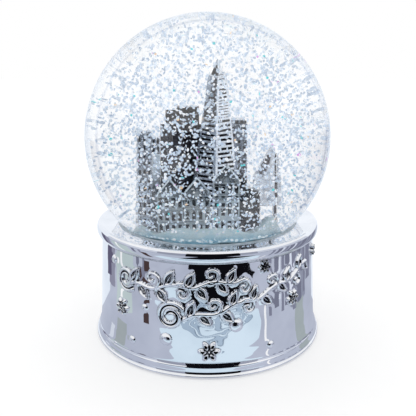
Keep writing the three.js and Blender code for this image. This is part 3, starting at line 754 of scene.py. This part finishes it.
def flower_height(places, s, z, radius):
    """Six looped petals round a small eye."""
    offset = places - np.array([s, z])
    far = np.hypot(offset[:, 0], offset[:, 1])
    height = np.zeros(len(places))
    inside = far < radius * 1.5
    angle = np.arctan2(offset[inside, 1], offset[inside, 0])
    petal = (angle + np.pi / 6) % (np.pi / 3) - np.pi / 6
    along, across = far[inside] * np.cos(petal), far[inside] * np.sin(petal)
    oval = np.hypot((along / radius - 0.62) / 0.38, across / radius / 0.21)
    loop = np.exp(-(((oval - 0.72) / 0.34) ** 2))
    eye = np.exp(-((far[inside] / radius / 0.14) ** 2))
    height[inside] = 1.25 * np.maximum(loop, eye)
    return height


def pearl_height(places, s, z, radius):
    """A round pearl that stands half out of the wall, with a soft fillet."""
    far = np.hypot(places[:, 0] - s, places[:, 1] - z) / radius
    dome = np.sqrt(np.clip(1 - far ** 2, 0, 1)) * radius * 0.55
    return dome + 0.10 * np.exp(-((far / 1.5) ** 4))


def ripple(places):
    """The faint waviness of plating over a cast wall."""
    random = np.random.default_rng(SEED)
    height = np.zeros(len(places))
    for _ in range(9):
        turns = random.integers(6, 26)
        rise = random.uniform(-0.9, 0.9)
        phase = random.uniform(0, 2 * np.pi)
        height += np.sin(turns * places[:, 0] / WALL_REF_R + rise * places[:, 1] + phase)
    return 0.006 * height


def relief(places):
    """How far each place of the wall, as (length round, height) in millimetres, stands out."""
    height = np.zeros(len(places))
    for turn in (0, 1):
        moved = places.copy()
        moved[:, 0] = (places[:, 0] - turn * HALF_ROUND + HALF_ROUND) % (2 * HALF_ROUND) - HALF_ROUND
        for points, start_width, end_width in FRONT_STROKES:
            height = np.maximum(height, near_strokes(moved, points, start_width, end_width))
        for s, z, radius in FLOWERS:
            height = np.maximum(height, flower_height(moved, s, z, radius))
        for s, z, radius in PEARLS:
            height = np.maximum(height, pearl_height(moved, s, z, radius))
    edges = np.clip((places[:, 1] - 5.4) / 1.4, 0, 1) * np.clip((44.2 - places[:, 1]) / 1.2, 0, 1)
    return (height + ripple(places)) * edges


# ---------------------------------------------------------------- base: shell

WALL_FOOT = 4.4
WALL_HEAD = 44
WALL_POINTS = [(WALL_FOOT, 47.6), (4.8, 47.36), (5.4, 47.13), (6.0, 47.02), (6.8, 46.93), (8, 46.8),
               (10.5, 46.55), (25, 45.75), (38, 45.1), (WALL_HEAD, 44.8)]
WALL_ROWS = 176
AROUND = 1320
DECK_Z = 48.3
BOSS_RING_R = 38.4


def bead(centre_r, centre_z, radius, steps=10):
    return arc((centre_r, centre_z), radius, -90, 90, steps)


def oval_bead(centre_r, centre_z, reach, half_height, steps=18):
    angles = np.radians(np.linspace(-84, 84, steps + 1))
    return [(centre_r + reach * math.cos(a), centre_z + half_height * math.sin(a)) for a in angles]


def base_shell():
    """The plated drum: rims, relief wall, deck, seat for the globe and the hollow inside."""
    heights = np.linspace(WALL_FOOT, WALL_HEAD, WALL_ROWS)
    known = np.array(WALL_POINTS)
    radii = np.interp(heights, known[:, 0], known[:, 1])
    kernel = np.hanning(7) / np.hanning(7).sum()
    smooth = np.convolve(np.pad(radii, 3, mode="reflect", reflect_type="odd"), kernel, mode="valid")
    wall = np.stack([smooth, heights], axis=1)
    lower = [(FOOT_R - 0.1, SHELL_BOTTOM), (FOOT_R, SHELL_BOTTOM + 0.12), (FOOT_R - 0.03, SHELL_BOTTOM + 0.3),
             (48.72, 1.3), (48.5, 1.42), (48.36, 1.52), (48.2, 1.8), (48.08, 2.1), (47.99, 2.4), (47.92, 2.7),
             (47.88, 3.1), (47.84, 3.6), (47.78, 4.0), (47.7, 4.25)]
    upper = bead(45.2, 44.3, 0.35, 6) + oval_bead(45.7, 46.8, 1.1, 2.3)
    deck = [(44.9, 49.15), (44.4, 48.75), (43.8, 48.45), (42.8, 48.32), (40, DECK_Z), (37.9, DECK_Z),
            (37.5, 48.2)]
    seat = bowl(GLOBE_R + 1.5, 37.4, 30.5, 8)
    under = bowl(GLOBE_R + 3.5, 30.5, 36, 4)
    under += [(39.5, 46.1), (40.3, 46.1), (42.3, 44.1), (42.3, 13.2), (44, 13.2)]
    foot = [(44, SHELL_BOTTOM + 0.3), (44.3, SHELL_BOTTOM)]
    rows = np.array(lower + [tuple(row) for row in wall] + upper + deck + seat + under + foot)
    first = len(lower)
    angles = np.linspace(0, 2 * np.pi, AROUND, endpoint=False)
    reach = np.repeat(rows[:, :1], AROUND, axis=1)
    around = ((angles + np.pi / 2 + np.pi) % (2 * np.pi) - np.pi) * WALL_REF_R
    grid = np.stack(np.meshgrid(around, heights), axis=-1).reshape(-1, 2)
    reach[first:first + WALL_ROWS] += relief(grid).reshape(WALL_ROWS, AROUND)
    points = np.stack([
        reach * np.cos(angles), reach * np.sin(angles), np.repeat(rows[:, 1:], AROUND, axis=1),
    ], axis=-1)
    piece = ring_grid("plated_base", points, chrome_plating(), 50)
    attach(piece, "base")
    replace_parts(piece, "base_shell")


def base_bosses():
    """The three posts inside the drum that take the base plate's screws, each joined to the wall by a web."""
    low, top, bore, bore_top = 13.2, 24.0, 1.5, 22.0
    finish = chrome_plating()
    steps = 48
    outline = ((0, 0, bore_top), (0, bore, bore_top), (0, bore, low + 0.4), (0, bore + 0.4, low),
               (0.94, 0, low), (1, 0, low + 0.3), (1, 0, top - 0.4), (0.94, 0, top), (0, 0, top))
    verts, faces = [], []
    for degrees in (90, 210, 330):
        outward = np.array([math.cos(math.radians(degrees)), math.sin(math.radians(degrees))])
        beside = np.array([-outward[1], outward[0]])
        first = len(verts)
        for scale, fixed, z in outline:
            for step in range(steps):
                angle = 2 * math.pi * step / steps
                c, d = math.cos(angle), math.sin(angle)
                web = min(4.2 / max(c, 1e-6), 2.4 / max(abs(d), 1e-6)) if c > 0 else 0
                radius = scale * max(3.0, web) + fixed
                x, y = outward * BOSS_RING_R + (outward * c + beside * d) * radius
                verts.append((x, y, z))
        for row in range(len(outline) - 1):
            for step in range(steps):
                after = (step + 1) % steps
                a, b = first + row * steps, first + (row + 1) * steps
                faces.append((a + step, a + after, b + after, b + step))
    piece = mesh_from("base_bosses", verts, faces, finish, 40)
    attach(piece, "base")
    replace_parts(piece, "base_shell")


# ---------------------------------------------------------------- globe

def glass_globe():
    neck_inside = NECK_R - NECK_WALL
    bottom = GLASS_LOW.z
    start = -math.degrees(math.acos(NECK_R / GLOBE_R))
    inner_end = -math.degrees(math.acos(neck_inside / INNER_R))
    outline = [(neck_inside + 0.5, bottom), (NECK_R + 0.5, bottom), (NECK_R + 0.8, bottom + 0.3),
               (NECK_R + 0.8, bottom + 1.3), (NECK_R + 0.5, bottom + 1.8), (NECK_R, bottom + 2.4),
               (NECK_R, bottom + 6.5)]
    outline += arc((0, GLOBE_Z), GLOBE_R, start, 90, 96)
    outline += arc((0, GLOBE_Z), INNER_R, 90, inner_end, 96)
    outline += [(neck_inside, bottom + 6.5), (neck_inside, bottom + 0.5), (neck_inside + 0.5, bottom)]
    # the last colour is that of the painted shade line in the glass
    finish = clear("globe_glass", 1.5, (1, 1, 1), (0.76, 0.84, 0.95), 20.0, (0.66, 0.71, 0.80))
    piece = turned("blown_glass", outline, finish, 192, 60)
    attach(piece, "base")
    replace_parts(piece, "glass_globe")


def sealant():
    """The pale bead that beds the globe in its seat and closes the gap at the deck."""
    outline = bowl(GLOBE_R + 0.05, 31.2, 36.9, 12)
    outline += [(37.0, 48.66), (37.25, 48.55), (37.6, 48.42), (37.95, 48.36)]
    outline += bowl(GLOBE_R + 1.45, 37.3, 31.2, 8)
    outline.append(outline[0])
    finish = matt("sealant_bead", (0.50, 0.60, 0.68), (0.66, 0.76, 0.84), (0.15, 0.3), 400.0, 0.15)
    piece = turned("sealant_bead", outline, finish, 160, 50)
    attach(piece, "base")
    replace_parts(piece, "globe_seal")


LIQUID_LOW = 43.9


def liquid():
    """The liquid that fills the glass and reaches a hair into it, so that no film of air shows."""
    radius = INNER_R + 0.05
    low = -math.degrees(math.asin((GLOBE_Z - LIQUID_LOW) / radius))
    outline = [(0, LIQUID_LOW)] + arc((0, GLOBE_Z), radius, low, 90, 96)
    finish = clear("liquid", 1.33, (1, 1, 1), (0.93, 0.97, 1.0), 30.0)
    piece = turned("clear_liquid", outline, finish, 160, 60)
    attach(piece, "base")
    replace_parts(piece, "liquid_fill")


# ---------------------------------------------------------------- ground

def snow_height(x, y):
    """The snowy ground rises in soft drifts round the houses."""
    far = np.hypot(x, y)

    def drift(height, centre_x, centre_y, width, depth):
        return height * np.exp(-((x - centre_x) ** 2 / width + (y - centre_y) ** 2 / depth))

    swell = drift(2.9, 5, -20, 190, 10) + drift(2.2, -12, -19, 60, 9)
    swell += drift(6.0, 20.5, -5, 34, 60) + drift(3.4, -22, -3, 14, 90)
    swell += 0.35 * np.sin(0.55 * x + 1.2) * np.sin(0.5 * y + 0.4)
    edge = np.clip((MOUND_R - far) / 3.2, 0, 1)
    return GROUND_Z - 0.2 + swell * edge - 3.4 * (1 - np.sqrt(np.clip(1 - (1 - edge) ** 2, 0, 1)))


def snow_mound(snow):
    steps, rings = 120, 34
    angles = np.linspace(0, 2 * np.pi, steps, endpoint=False)
    verts, faces = [(0.0, 0.0, float(snow_height(0, 0)))], []
    for ring in range(1, rings + 1):
        radius = MOUND_R * (ring / rings) ** 0.85
        for angle in angles:
            x, y = radius * math.cos(angle), radius * math.sin(angle)
            verts.append((x, y, float(snow_height(x, y))))
    for radius, z in ((MOUND_R, MOUND_LOW.z + 1), (MOUND_R - 1, MOUND_LOW.z)):
        verts += [(radius * math.cos(a), radius * math.sin(a), z) for a in angles]
    for step in range(steps):
        faces.append((0, 1 + step, 1 + (step + 1) % steps))
    for row in range(rings + 1):
        low, high = 1 + row * steps, 1 + (row + 1) * steps
        faces += [(low + s, high + s, high + (s + 1) % steps, low + (s + 1) % steps) for s in range(steps)]
    last = 1 + (rings + 1) * steps
    faces.append(tuple(range(last, last + steps)))
    piece = mesh_from("snowy_ground", verts, faces, snow, 60)
    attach(piece, "base")
    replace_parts(piece, "snow_mound")


# ---------------------------------------------------------------- flakes

FLAKE_COUNT = 7800
DRIFT_COUNT = 450
CLOUD_X, CLOUD_REACH_X, CLOUD_REACH_Z = 1.9, 35.8, 39  # the region in which flakes float


def flake(centre, normal, radius, turn, thickness, verts, faces, sides=6):
    """One thin hexagonal flake as a closed plate."""
    helper = Vector((0, 0, 1)) if abs(normal[2]) < 0.9 else Vector((1, 0, 0))
    axis = Vector(normal).normalized()
    across = axis.cross(helper).normalized()
    along = axis.cross(across)
    first = len(verts)
    for lift in (-thickness / 2, thickness / 2):
        for side in range(sides):
            angle = turn + 2 * math.pi * side / sides
            outward = across * math.cos(angle) + along * math.sin(angle)
            spot = Vector(centre) + axis * lift + outward * radius
            verts.append(spot)
    faces.append(tuple(first + sides - 1 - side for side in range(sides)))
    faces.append(tuple(first + sides + side for side in range(sides)))
    for side in range(sides):
        after = (side + 1) % sides
        faces.append((first + side, first + after, first + sides + after, first + sides + side))


CITY_BOXES = []  # filled as the buildings are made: (low corner, high corner) of each


def in_city(spot):
    return any(all(low[i] - 0.5 < spot[i] < high[i] + 0.5 for i in range(3)) for low, high in CITY_BOXES)


def flakes(name, spots, random, radii, material, replaces=()):
    verts, faces = [], []
    for spot in spots:
        normal = random.normal(size=3)
        radius = random.uniform(*radii)
        flake(spot, normal, radius, random.uniform(0, math.pi), 0.05, verts, faces)
    piece = mesh_from(name, verts, faces, material, 30, weld=0)
    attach(piece, "base")
    if replaces:
        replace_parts(piece, *replaces)


def floating_flakes():
    random = np.random.default_rng(SEED + 1)
    spots = []
    while len(spots) < FLAKE_COUNT:
        spot = random.uniform(-1, 1, 3) * (INNER_R - 1)
        outside = math.hypot((spot[0] - CLOUD_X) / CLOUD_REACH_X, spot[2] / CLOUD_REACH_Z) > 1
        if np.linalg.norm(spot) > INNER_R - 1 or outside:
            continue
        spot[2] += GLOBE_Z
        ground = max(GROUND_Z + 0.8, snow_height(spot[0], spot[1]) + 0.7)
        if spot[2] < ground or in_city(spot):
            continue
        if random.uniform() > 0.62 + 0.38 * math.exp(-(spot[2] - 50) / 12):
            continue
        spots.append(spot)
    stops = [
        (0.0, (0.50, 0.59, 0.71)), (0.3, (0.61, 0.70, 0.81)), (0.6, (0.72, 0.80, 0.90)),
        (0.8, (0.92, 0.95, 0.99)),
        (0.984, (0.10, 0.62, 0.66)), (0.989, (0.25, 0.70, 0.50)), (0.992, (0.75, 0.35, 0.75)),
        (0.996, (0.95, 0.66, 0.42)),
    ]
    flakes("floating_flakes", spots, random, (0.38, 0.60), flake_material("flakes", stops))


def settled_drift(snow):
    """The soft ring of sunken flakes between the mound and the glass."""
    steps = 150
    wall = INNER_R - 0.7
    rows = [(MOUND_R + 0.3, 44.2)] + bowl(wall, 28.2, 34.2, 7)
    rows += [(33.6, 49.9), (32.2, 50.2), (30, 50.3), (27.5, 50.4), (25.6, 50.3), (MOUND_R + 0.3, 50.0)]
    angles = np.linspace(0, 2 * np.pi, steps, endpoint=False)
    lumps = 0.45 * np.sin(5 * angles + 1) + 0.3 * np.sin(9 * angles + 2.2) + 0.22 * np.sin(17 * angles)
    points = np.array([[(r * math.cos(a), r * math.sin(a), z + (lump if z > 49 else 0) - (0.5 if z > 49 else 0))
                        for a, lump in zip(angles, lumps)] for r, z in rows])
    piece = ring_grid("settled_drift", points, snow, 60)
    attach(piece, "base")
    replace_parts(piece, "glitter_drift")


def settled_flakes():
    """Flakes that have sunk to the bottom of the glass, round the mound."""
    random = np.random.default_rng(SEED + 2)
    spots = []
    while len(spots) < DRIFT_COUNT:
        angle = random.uniform(0, 2 * math.pi)
        radius = random.uniform(MOUND_R + 0.6, 33.5)
        spots.append((radius * math.cos(angle), radius * math.sin(angle), 50.2 + abs(random.normal()) * 0.5))
    stops = [(0.0, (0.50, 0.60, 0.66)), (0.4, (0.70, 0.79, 0.83)), (0.8, (0.88, 0.93, 0.95))]
    flakes("settled_flakes", spots, random, (0.4, 0.7), flake_material("settled", stops))


# ---------------------------------------------------------------- city

class Shape:
    """Corners and faces of one casting, in millimetres."""

    def __init__(self):
        self.verts, self.faces, self.sunken = [], [], set()

    def polygon(self, corners):
        first = len(self.verts)
        self.verts += [tuple(corner) for corner in corners]
        self.faces.append(tuple(range(first, first + len(corners))))

    def hull(self, bottom, top):
        """A closed prism between two loops of corners with the same count."""
        count = len(bottom)
        self.polygon(list(reversed(bottom)))
        self.polygon(top)
        for i in range(count):
            after = (i + 1) % count
            self.polygon([bottom[i], bottom[after], top[after], top[i]])

    def box(self, x, y, z):
        low = [(x[0], y[0], z[0]), (x[1], y[0], z[0]), (x[1], y[1], z[0]), (x[0], y[1], z[0])]
        self.hull(low, [(a, b, z[1]) for a, b, _ in low])

    def tower(self, bottom, top, columns, rows, window=(0.55, 0.6), depth=0.35, skip=()):
        """A block between two loops of four corners, with rows of sunken windows on each side."""
        bottom, top = [np.array(c, float) for c in bottom], [np.array(c, float) for c in top]
        middle = sum(bottom) / 4
        caps = ([], [])
        for side in range(4):
            corners = bottom[side], bottom[(side + 1) % 4], top[(side + 1) % 4], top[side]
            inward = np.cross(corners[1] - corners[0], corners[3] - corners[0])
            inward /= np.linalg.norm(inward)
            if np.dot(inward, middle - corners[0]) < 0:
                inward = -inward
            count = columns[side % len(columns)]
            self.wall(corners, inward * depth, count, rows, window, side in skip)
            u_lines = wall_lines(count, window[0])[:-1]
            for cap, (a, b) in zip(caps, ((corners[0], corners[1]), (corners[3], corners[2]))):
                cap.extend(a + (b - a) * u for u in u_lines)
        self.polygon(caps[0][::-1])
        self.polygon(caps[1])

    def wall(self, corners, sunk, columns, rows, window, plain):
        a, b, c, d = corners

        def spot(u, v):
            return (a + (b - a) * u) * (1 - v) + (d + (c - d) * u) * v

        us, vs = wall_lines(columns, window[0]), wall_lines(rows, window[1])
        for i in range(len(us) - 1):
            for j in range(len(vs) - 1):
                ends = ((i, j), (i + 1, j), (i + 1, j + 1), (i, j + 1))
                quad = [spot(us[column], vs[row]) for column, row in ends]
                if plain or i % 2 == 0 or j % 2 == 0:
                    self.polygon(quad)
                    continue
                back = [corner + sunk for corner in quad]
                self.sunken.add(len(self.faces))
                self.polygon(back)
                for k in range(4):
                    self.polygon([quad[k], quad[(k + 1) % 4], back[(k + 1) % 4], back[k]])

    def piece(self, name, node, material):
        made = mesh_from(name, self.verts, self.faces, material, 25, sunken=self.sunken)
        low, high = np.min(self.verts, axis=0), np.max(self.verts, axis=0)
        CITY_BOXES.append((low, high))
        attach(made, "base")
        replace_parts(made, node)


def wall_lines(count, share):
    """Where the lines of a wall's windows fall, from 0 to 1: windows take that share of each bay."""
    lines = [0.0]
    for bay in range(count):
        lines += [(bay + (1 - share) / 2) / count, (bay + (1 + share) / 2) / count]
    return lines + [1.0]


def loop(x, y, z):
    return [(x[0], y[0], z), (x[1], y[0], z), (x[1], y[1], z), (x[0], y[1], z)]


def diamond(x, half, z):
    return [(x, -half, z), (x + half, 0, z), (x, half, z), (x - half, 0, z)]


def parapet(shape, x, y, z, height=0.5, thick=0.35):
    """A low wall round a flat roof."""
    shape.box((x[0], x[1]), (y[0], y[0] + thick), (z, z + height))
    shape.box((x[0], x[1]), (y[1] - thick, y[1]), (z, z + height))
    shape.box((x[0], x[0] + thick), (y[0] + thick, y[1] - thick), (z, z + height))
    shape.box((x[1] - thick, x[1]), (y[0] + thick, y[1] - thick), (z, z + height))


def spire_tower(finish, shade_finish):
    """A slender four-sided tower on its corner, with slots low down, finer lines above and a sharp top. Dark inlays on
    its front left face are painted shade.
    """
    low, high = box_mm("spire_tower")
    foot_x, lean = (low.x + high.x) / 2, 1.0
    half = (high.x - low.x) / 2
    shoulder, tip, slender = 102.0, high.z + 0.9, 2.9

    def layer(z, grow=0.0):
        share = (z - GROUND_Z) / (shoulder - GROUND_Z)
        return diamond(foot_x + lean * share, half + (slender - half) * share + grow, z)

    shape = Shape()
    front_left, back_right = 3, 1
    for low_z, high_z, rows, window, depth, skip in (
        (GROUND_Z, 66, 8, (0.8, 0.5), 0.8, ()), (66, 89, 16, (0.78, 0.5), 0.8, ()),
        (89, 95, 7, (0.7, 0.28), 0.15, (front_left, back_right)),
        (95, 98.6, 3, (0.6, 0.5), 0.5, (front_left, back_right)),
        (98.6, shoulder, 2, (0.7, 0.2), 0.12, (front_left, back_right)),
    ):
        shape.tower(layer(low_z), layer(high_z), (1,), rows, window, depth, skip)
    shape.hull(layer(shoulder, 0.2), diamond(foot_x + lean, slender + 0.2, shoulder + 0.3))
    shape.hull(diamond(foot_x + lean, 1.9, shoulder + 0.3), diamond(foot_x + lean, 0.12, tip))
    shape.piece("city_spire", "spire_tower", finish)
    # painted shade: dark inlays on the plain front left face and at the crown
    painted_shade_inlay = Shape()
    waves = np.linspace(89.2, 101.6, 14)
    for number, (a, b) in enumerate(zip(waves, waves[1:])):
        corners = []
        for z in (a, b - 0.12):
            left, front = (np.array(layer(z, 0.06)[i]) for i in (3, 0))
            wide = 0.42 + 0.2 * math.sin(2.4 * number)
            corners.append([left + (front - left) * share for share in (0.93 - wide, 0.93)])
        (p, q), (r, t) = corners
        inward = np.array([0.4, 0.4, 0])
        painted_shade_inlay.hull([p, q, t, r], [corner + inward for corner in (p, q, t, r)])
    for x_share, foot, head in ((0.1, 89.4, 94.0),):
        p, q, t, r = (np.array(layer(z, 0.06)[3]) * (1 - share) + np.array(layer(z, 0.06)[0]) * share
                      for share, z in ((x_share, foot), (x_share + 0.3, foot), (x_share + 0.2, head), (x_share, head)))
        painted_shade_inlay.hull([p, q, t, r], [corner + np.array([0.4, 0.4, 0]) for corner in (p, q, t, r)])
    crown = ((1.9, shoulder + 0.5, 3), (1.9, shoulder + 0.5, 0), (0.75, shoulder + 3.3, 0), (0.8, shoulder + 3.0, 3))
    top = [np.array(diamond(foot_x + lean, radius, z)[i]) for radius, z, i in crown]
    outward = np.array([-0.05, -0.05, 0])
    painted_shade_inlay.hull([corner + outward for corner in top], [corner + np.array([0.3, 0.3, 0]) for corner in top])
    painted_shade_inlay.piece("city_spire_glazing", "spire_tower", shade_finish)


def left_tower(finish, smooth_finish):
    """A tower with a grid of windows, and a smooth pier set in front of its right half."""
    low, high = box_mm("left_tower")
    shape = Shape()
    x, y = (low.x, -17.5), (low.y, high.y)
    shape.tower(loop(x, y, GROUND_Z), loop(x, y, 84), (3, 4), 12, (0.5, 0.6), 0.6)
    side_x, side_y = (-17.5, -14.8), (-1.2, 3)
    shape.tower(loop(side_x, side_y, GROUND_Z), loop(side_x, side_y, 83), (2, 3), 12, (0.5, 0.6), 0.5)
    shape.box((low.x, low.x + 1.1), (low.y, low.y + 1.1), (84, high.z))
    shape.box((-19.0, -17.5), (low.y, low.y + 1.1), (84, high.z))
    parapet(shape, x, y, 84)
    shape.piece("city_left_tower", "left_tower", finish)
    pier = Shape()
    foot = [(-17.45, -3.4), (-14.8, -1.9), (-14.8, -1.25), (-17.45, -1.25)]
    pier.hull([(a, b, GROUND_Z) for a, b in foot], [(a, b, 78) for a, b in foot])
    pier.piece("city_pier", "left_tower", smooth_finish)


def centre_block(finish):
    low, high = box_mm("centre_block")
    shape = Shape()
    x, y = (low.x, high.x), (low.y, high.y)
    shape.tower(loop(x, y, GROUND_Z), loop(x, y, 84.5), (6, 4), 14, (0.45, 0.55), 0.35)
    shape.tower(loop((-12.9, -2.6), (7.2, 12.8), 84.5), loop((-12.9, -2.6), (7.2, 12.8), 89), (5, 3), 2)
    shape.tower(loop((-9.6, -2.6), (8.4, 11.6), 89), loop((-9.6, -2.6), (8.4, 11.6), high.z), (4, 2), 1)
    parapet(shape, x, y, 84.5)
    parapet(shape, (-12.9, -2.6), (7.2, 12.8), 89)
    shape.piece("city_centre_block", "centre_block", finish)


def right_block(finish):
    low, high = box_mm("right_block")
    shape = Shape()
    x, y = (low.x, high.x), (low.y, high.y)
    shape.tower(loop(x, y, GROUND_Z), loop(x, y, 85.4), (5, 4), 16, (0.5, 0.5), 0.35)
    shape.tower(loop((4.8, 11.4), (9, 14), 85.4), loop((4.8, 11.4), (9, 14), high.z), (4, 3), 1)
    parapet(shape, x, y, 85.4)
    shape.piece("city_right_block", "right_block", finish)


def wedge_building(finish, shade_finish):
    """A tall gable turned a little to the right, with a dark strip under its slope and an open porch. Its dark strips,
    under the slope and down its right side, are painted shade.
    """
    low, high = box_mm("wedge_building")
    # painted shade: the second shape holds the dark strips
    body, strip = Shape(), Shape()
    turn = 0.33

    def prism(shape, outline, sunk=0.0):
        fronts = [(x, low.y + (x - low.x) * turn + sunk, z) for x, z in outline]
        shape.hull([(x, high.y, z) for x, z in outline], fronts)

    peak_x, eaves = 19.6, 70.7
    sail = [(18.9, 77.5), (17.2, 74.7), (16.1, 72.6), (16.6, 71.4), (17.4, 70.6), (18.2, 72.1), (19.2, 74.3),
            (19.6, 76.2), (19.5, 77.6)]
    prism(body, [(low.x, 61.5), (20.9, 61.5), (20.9, 78.0), (peak_x, high.z), (low.x, eaves)])
    front_y = low.y - 0.25
    outer, inner = ([(x, front_y + (x - low.x) * turn + lift, z) for x, z in sail] for lift in (0, 0.6))
    strip.hull(inner, outer)
    for x, wide, foot, head in ((20.9, 0.45, 70, 77.4), (20.75, 0.8, 64, 70.5), (20.6, 0.7, 52, 61.6)):
        prism(strip, [(x, foot), (x + wide, foot), (x + wide, head), (x, head)], 0.2)
    prism(body, [(21.6, 61.5), (22.7, 61.5), (high.x, 71.0), (22.3, 75.0), (21.6, 77.2)], 0.5)
    prism(body, [(low.x, GROUND_Z), (15.3, GROUND_Z), (15.3, 61.5), (low.x, 61.5)])
    prism(body, [(20.2, GROUND_Z), (20.6, GROUND_Z), (20.6, 61.5), (20.2, 61.5)])
    body.piece("city_wedge", "wedge_building", finish)
    strip.piece("city_wedge_painted_shade", "wedge_building", shade_finish)


def low_block(finish):
    low, high = box_mm("low_block")
    shape = Shape()
    bottom = loop((low.x, high.x), (low.y, high.y), GROUND_Z)
    top = [(x, y, 69 if x < 12 else 66.8) for x, y, _ in bottom]
    shape.tower(bottom, top, (4, 3), 6, (0.5, 0.55), 0.35)
    shape.piece("city_low_block", "low_block", finish)


def moulding(shape, line, y, height=0.55, reach=0.55):
    """A bright chamfered strip on a wall, along a line of (x, z) places, whose left side is the upper one."""
    for (x0, z0), (x1, z1) in zip(line, line[1:]):
        long = math.hypot(x1 - x0, z1 - z0)
        up = (-(z1 - z0) / long * height, (x1 - x0) / long * height)
        ends = [[(x, y, z), (x, y - reach, z), (x + up[0], y, z + up[1])] for x, z in ((x0, z0), (x1, z1))]
        shape.hull(*ends)


def arch(x, z, radius, steps=8):
    """The line of a round window head, from its left foot to its right."""
    angles = [math.pi * i / steps for i in range(steps + 1)]
    return [(x - radius * math.cos(angle), z + radius * math.sin(angle)) for angle in angles]


def row_house(number, finish, lift):
    """A narrow gabled house: stepped trim, a round window in the gable, arched and tall windows below."""
    low, high = box_mm(f"row_house_{number}")
    shape = Shape()
    middle, half = (low.x + high.x) / 2, (high.x - low.x) / 2
    front, back = low.y + 0.5, high.y
    eaves, peak = high.z - 5.6 + lift, high.z - 0.5 + lift
    shape.tower(loop((low.x, high.x), (front, back), GROUND_Z - 0.3), loop((low.x, high.x), (front, back), eaves),
                (4, 3), 3, (0.55, 0.7), 0.6)
    gable = [(low.x, eaves), (high.x, eaves), (middle, peak)]
    shape.hull([(x, back, z) for x, z in gable], [(x, front, z) for x, z in gable])
    inset = 0.45  # keeps the eaves clear of the neighbours
    foot = eaves + inset * (peak - eaves) / half
    slope = [(low.x + inset, foot), (middle, peak), (high.x - inset, foot)]
    moulding(shape, slope, front - 0.1, 0.55, 0.7)
    moulding(shape, [(x * 0.8 + middle * 0.2, z - 1.0) for x, z in slope], front, 0.35, 0.5)
    moulding(shape, [(x * 0.58 + middle * 0.42, z - 1.9) for x, z in slope], front, 0.35, 0.45)
    moulding(shape, arch(middle, eaves + 0.3, 1.3), front, 0.4, 0.5)
    for level in (eaves - 0.5, eaves - 4.5, eaves - 8.7):
        moulding(shape, [(low.x, level), (high.x, level)], front, 0.5, 0.6)
    for bay in range(4):
        x = low.x + (bay + 0.5) * 2 * half / 4
        moulding(shape, arch(x, eaves - 2.2, 0.75), front, 0.35, 0.5)
        moulding(shape, [(x - 0.8, eaves - 4.1), (x + 0.8, eaves - 4.1)], front, 0.3, 0.4)
        moulding(shape, [(x - 0.8, eaves - 6.1), (x, eaves - 5.3), (x + 0.8, eaves - 6.1)], front, 0.3, 0.45)
    shape.piece(f"city_row_house_{number}", f"row_house_{number}", finish)


def city():
    # The city is one silver casting; these finishes are copies of one plating, and the two darkest are painted shade
    # on the buildings that wear them.
    bright = silvered_casting("silvered_bright", (0.70, 0.72, 0.76), (0.90, 0.92, 0.95))
    grey = silvered_casting("silvered_grey", (0.66, 0.72, 0.80), (0.92, 0.95, 1.0))
    slate = silvered_casting("silvered_slate", (0.62, 0.74, 0.86), (0.90, 0.98, 1.0), 0.35)
    half_shade = silvered_casting("silvered_middling", (0.34, 0.37, 0.42), (0.70, 0.74, 0.80))
    dark = silvered_casting("silvered_painted_shade", (0.035, 0.03, 0.034), (0.12, 0.11, 0.12))
    spire_tower(grey, dark)
    left_tower(grey, bright)
    centre_block(dark)
    right_block(half_shade)
    wedge_building(half_shade, dark)
    low_block(dark)
    for number, lift in ((1, 0.9), (2, 0.4), (3, 3.0)):
        row_house(number, slate, lift)


# ---------------------------------------------------------------- pieces kept from the frame

def kept_nodes():
    """Gives every CAD node that stays its own finish."""
    steel = metal("steel", (0.52, 0.53, 0.55), (0.72, 0.73, 0.75), (0.2, 0.4), 500.0, 0.15)
    brass = metal("brass", (0.62, 0.46, 0.18), (0.83, 0.66, 0.32), (0.18, 0.36), 400.0, 0.12)
    zinc = metal("zinc", (0.42, 0.43, 0.44), (0.62, 0.63, 0.64), (0.35, 0.55), 350.0, 0.3)
    finishes = {
        "felt": matt("felt", (0.012, 0.012, 0.014), (0.045, 0.045, 0.05), (0.85, 1.0), 2200.0, 0.8, 0.0004),
        "plate_paint": matt(
            "plate_paint", (0.018, 0.018, 0.02), (0.035, 0.035, 0.038), (0.3, 0.5), 900.0, 0.3, 0.0001,
        ),
        "sealant": matt("sealant", (0.30, 0.38, 0.43), (0.42, 0.50, 0.55), (0.2, 0.4), 800.0, 0.2),
        "stopper_rubber": matt(
            "stopper_rubber", (0.02, 0.02, 0.022), (0.05, 0.05, 0.052), (0.6, 0.85), 500.0, 0.3,
        ),
        "zinc_casting": zinc, "brass": brass, "steel": steel, "chrome_plating": chrome_plating(),
    }
    replaced = {name for piece in bpy.data.objects for name in piece.get("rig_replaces", [])}
    slots = {row["node"]: row["material_slot"] for row in frame["record"]["subparts"]}
    for node, piece in frame["nodes"].items():
        if slots[node] in finishes and node not in replaced:
            piece.data.materials.clear()
            piece.data.materials.append(finishes[slots[node]])


# ---------------------------------------------------------------- the object

add_stage()
base_shell()
base_bosses()
glass_globe()
sealant()
liquid()
snow_finish = packed_snow()
snow_mound(snow_finish)
settled_drift(snow_finish)
city()
floating_flakes()
settled_flakes()
kept_nodes()

bpy.context.view_layer.update()
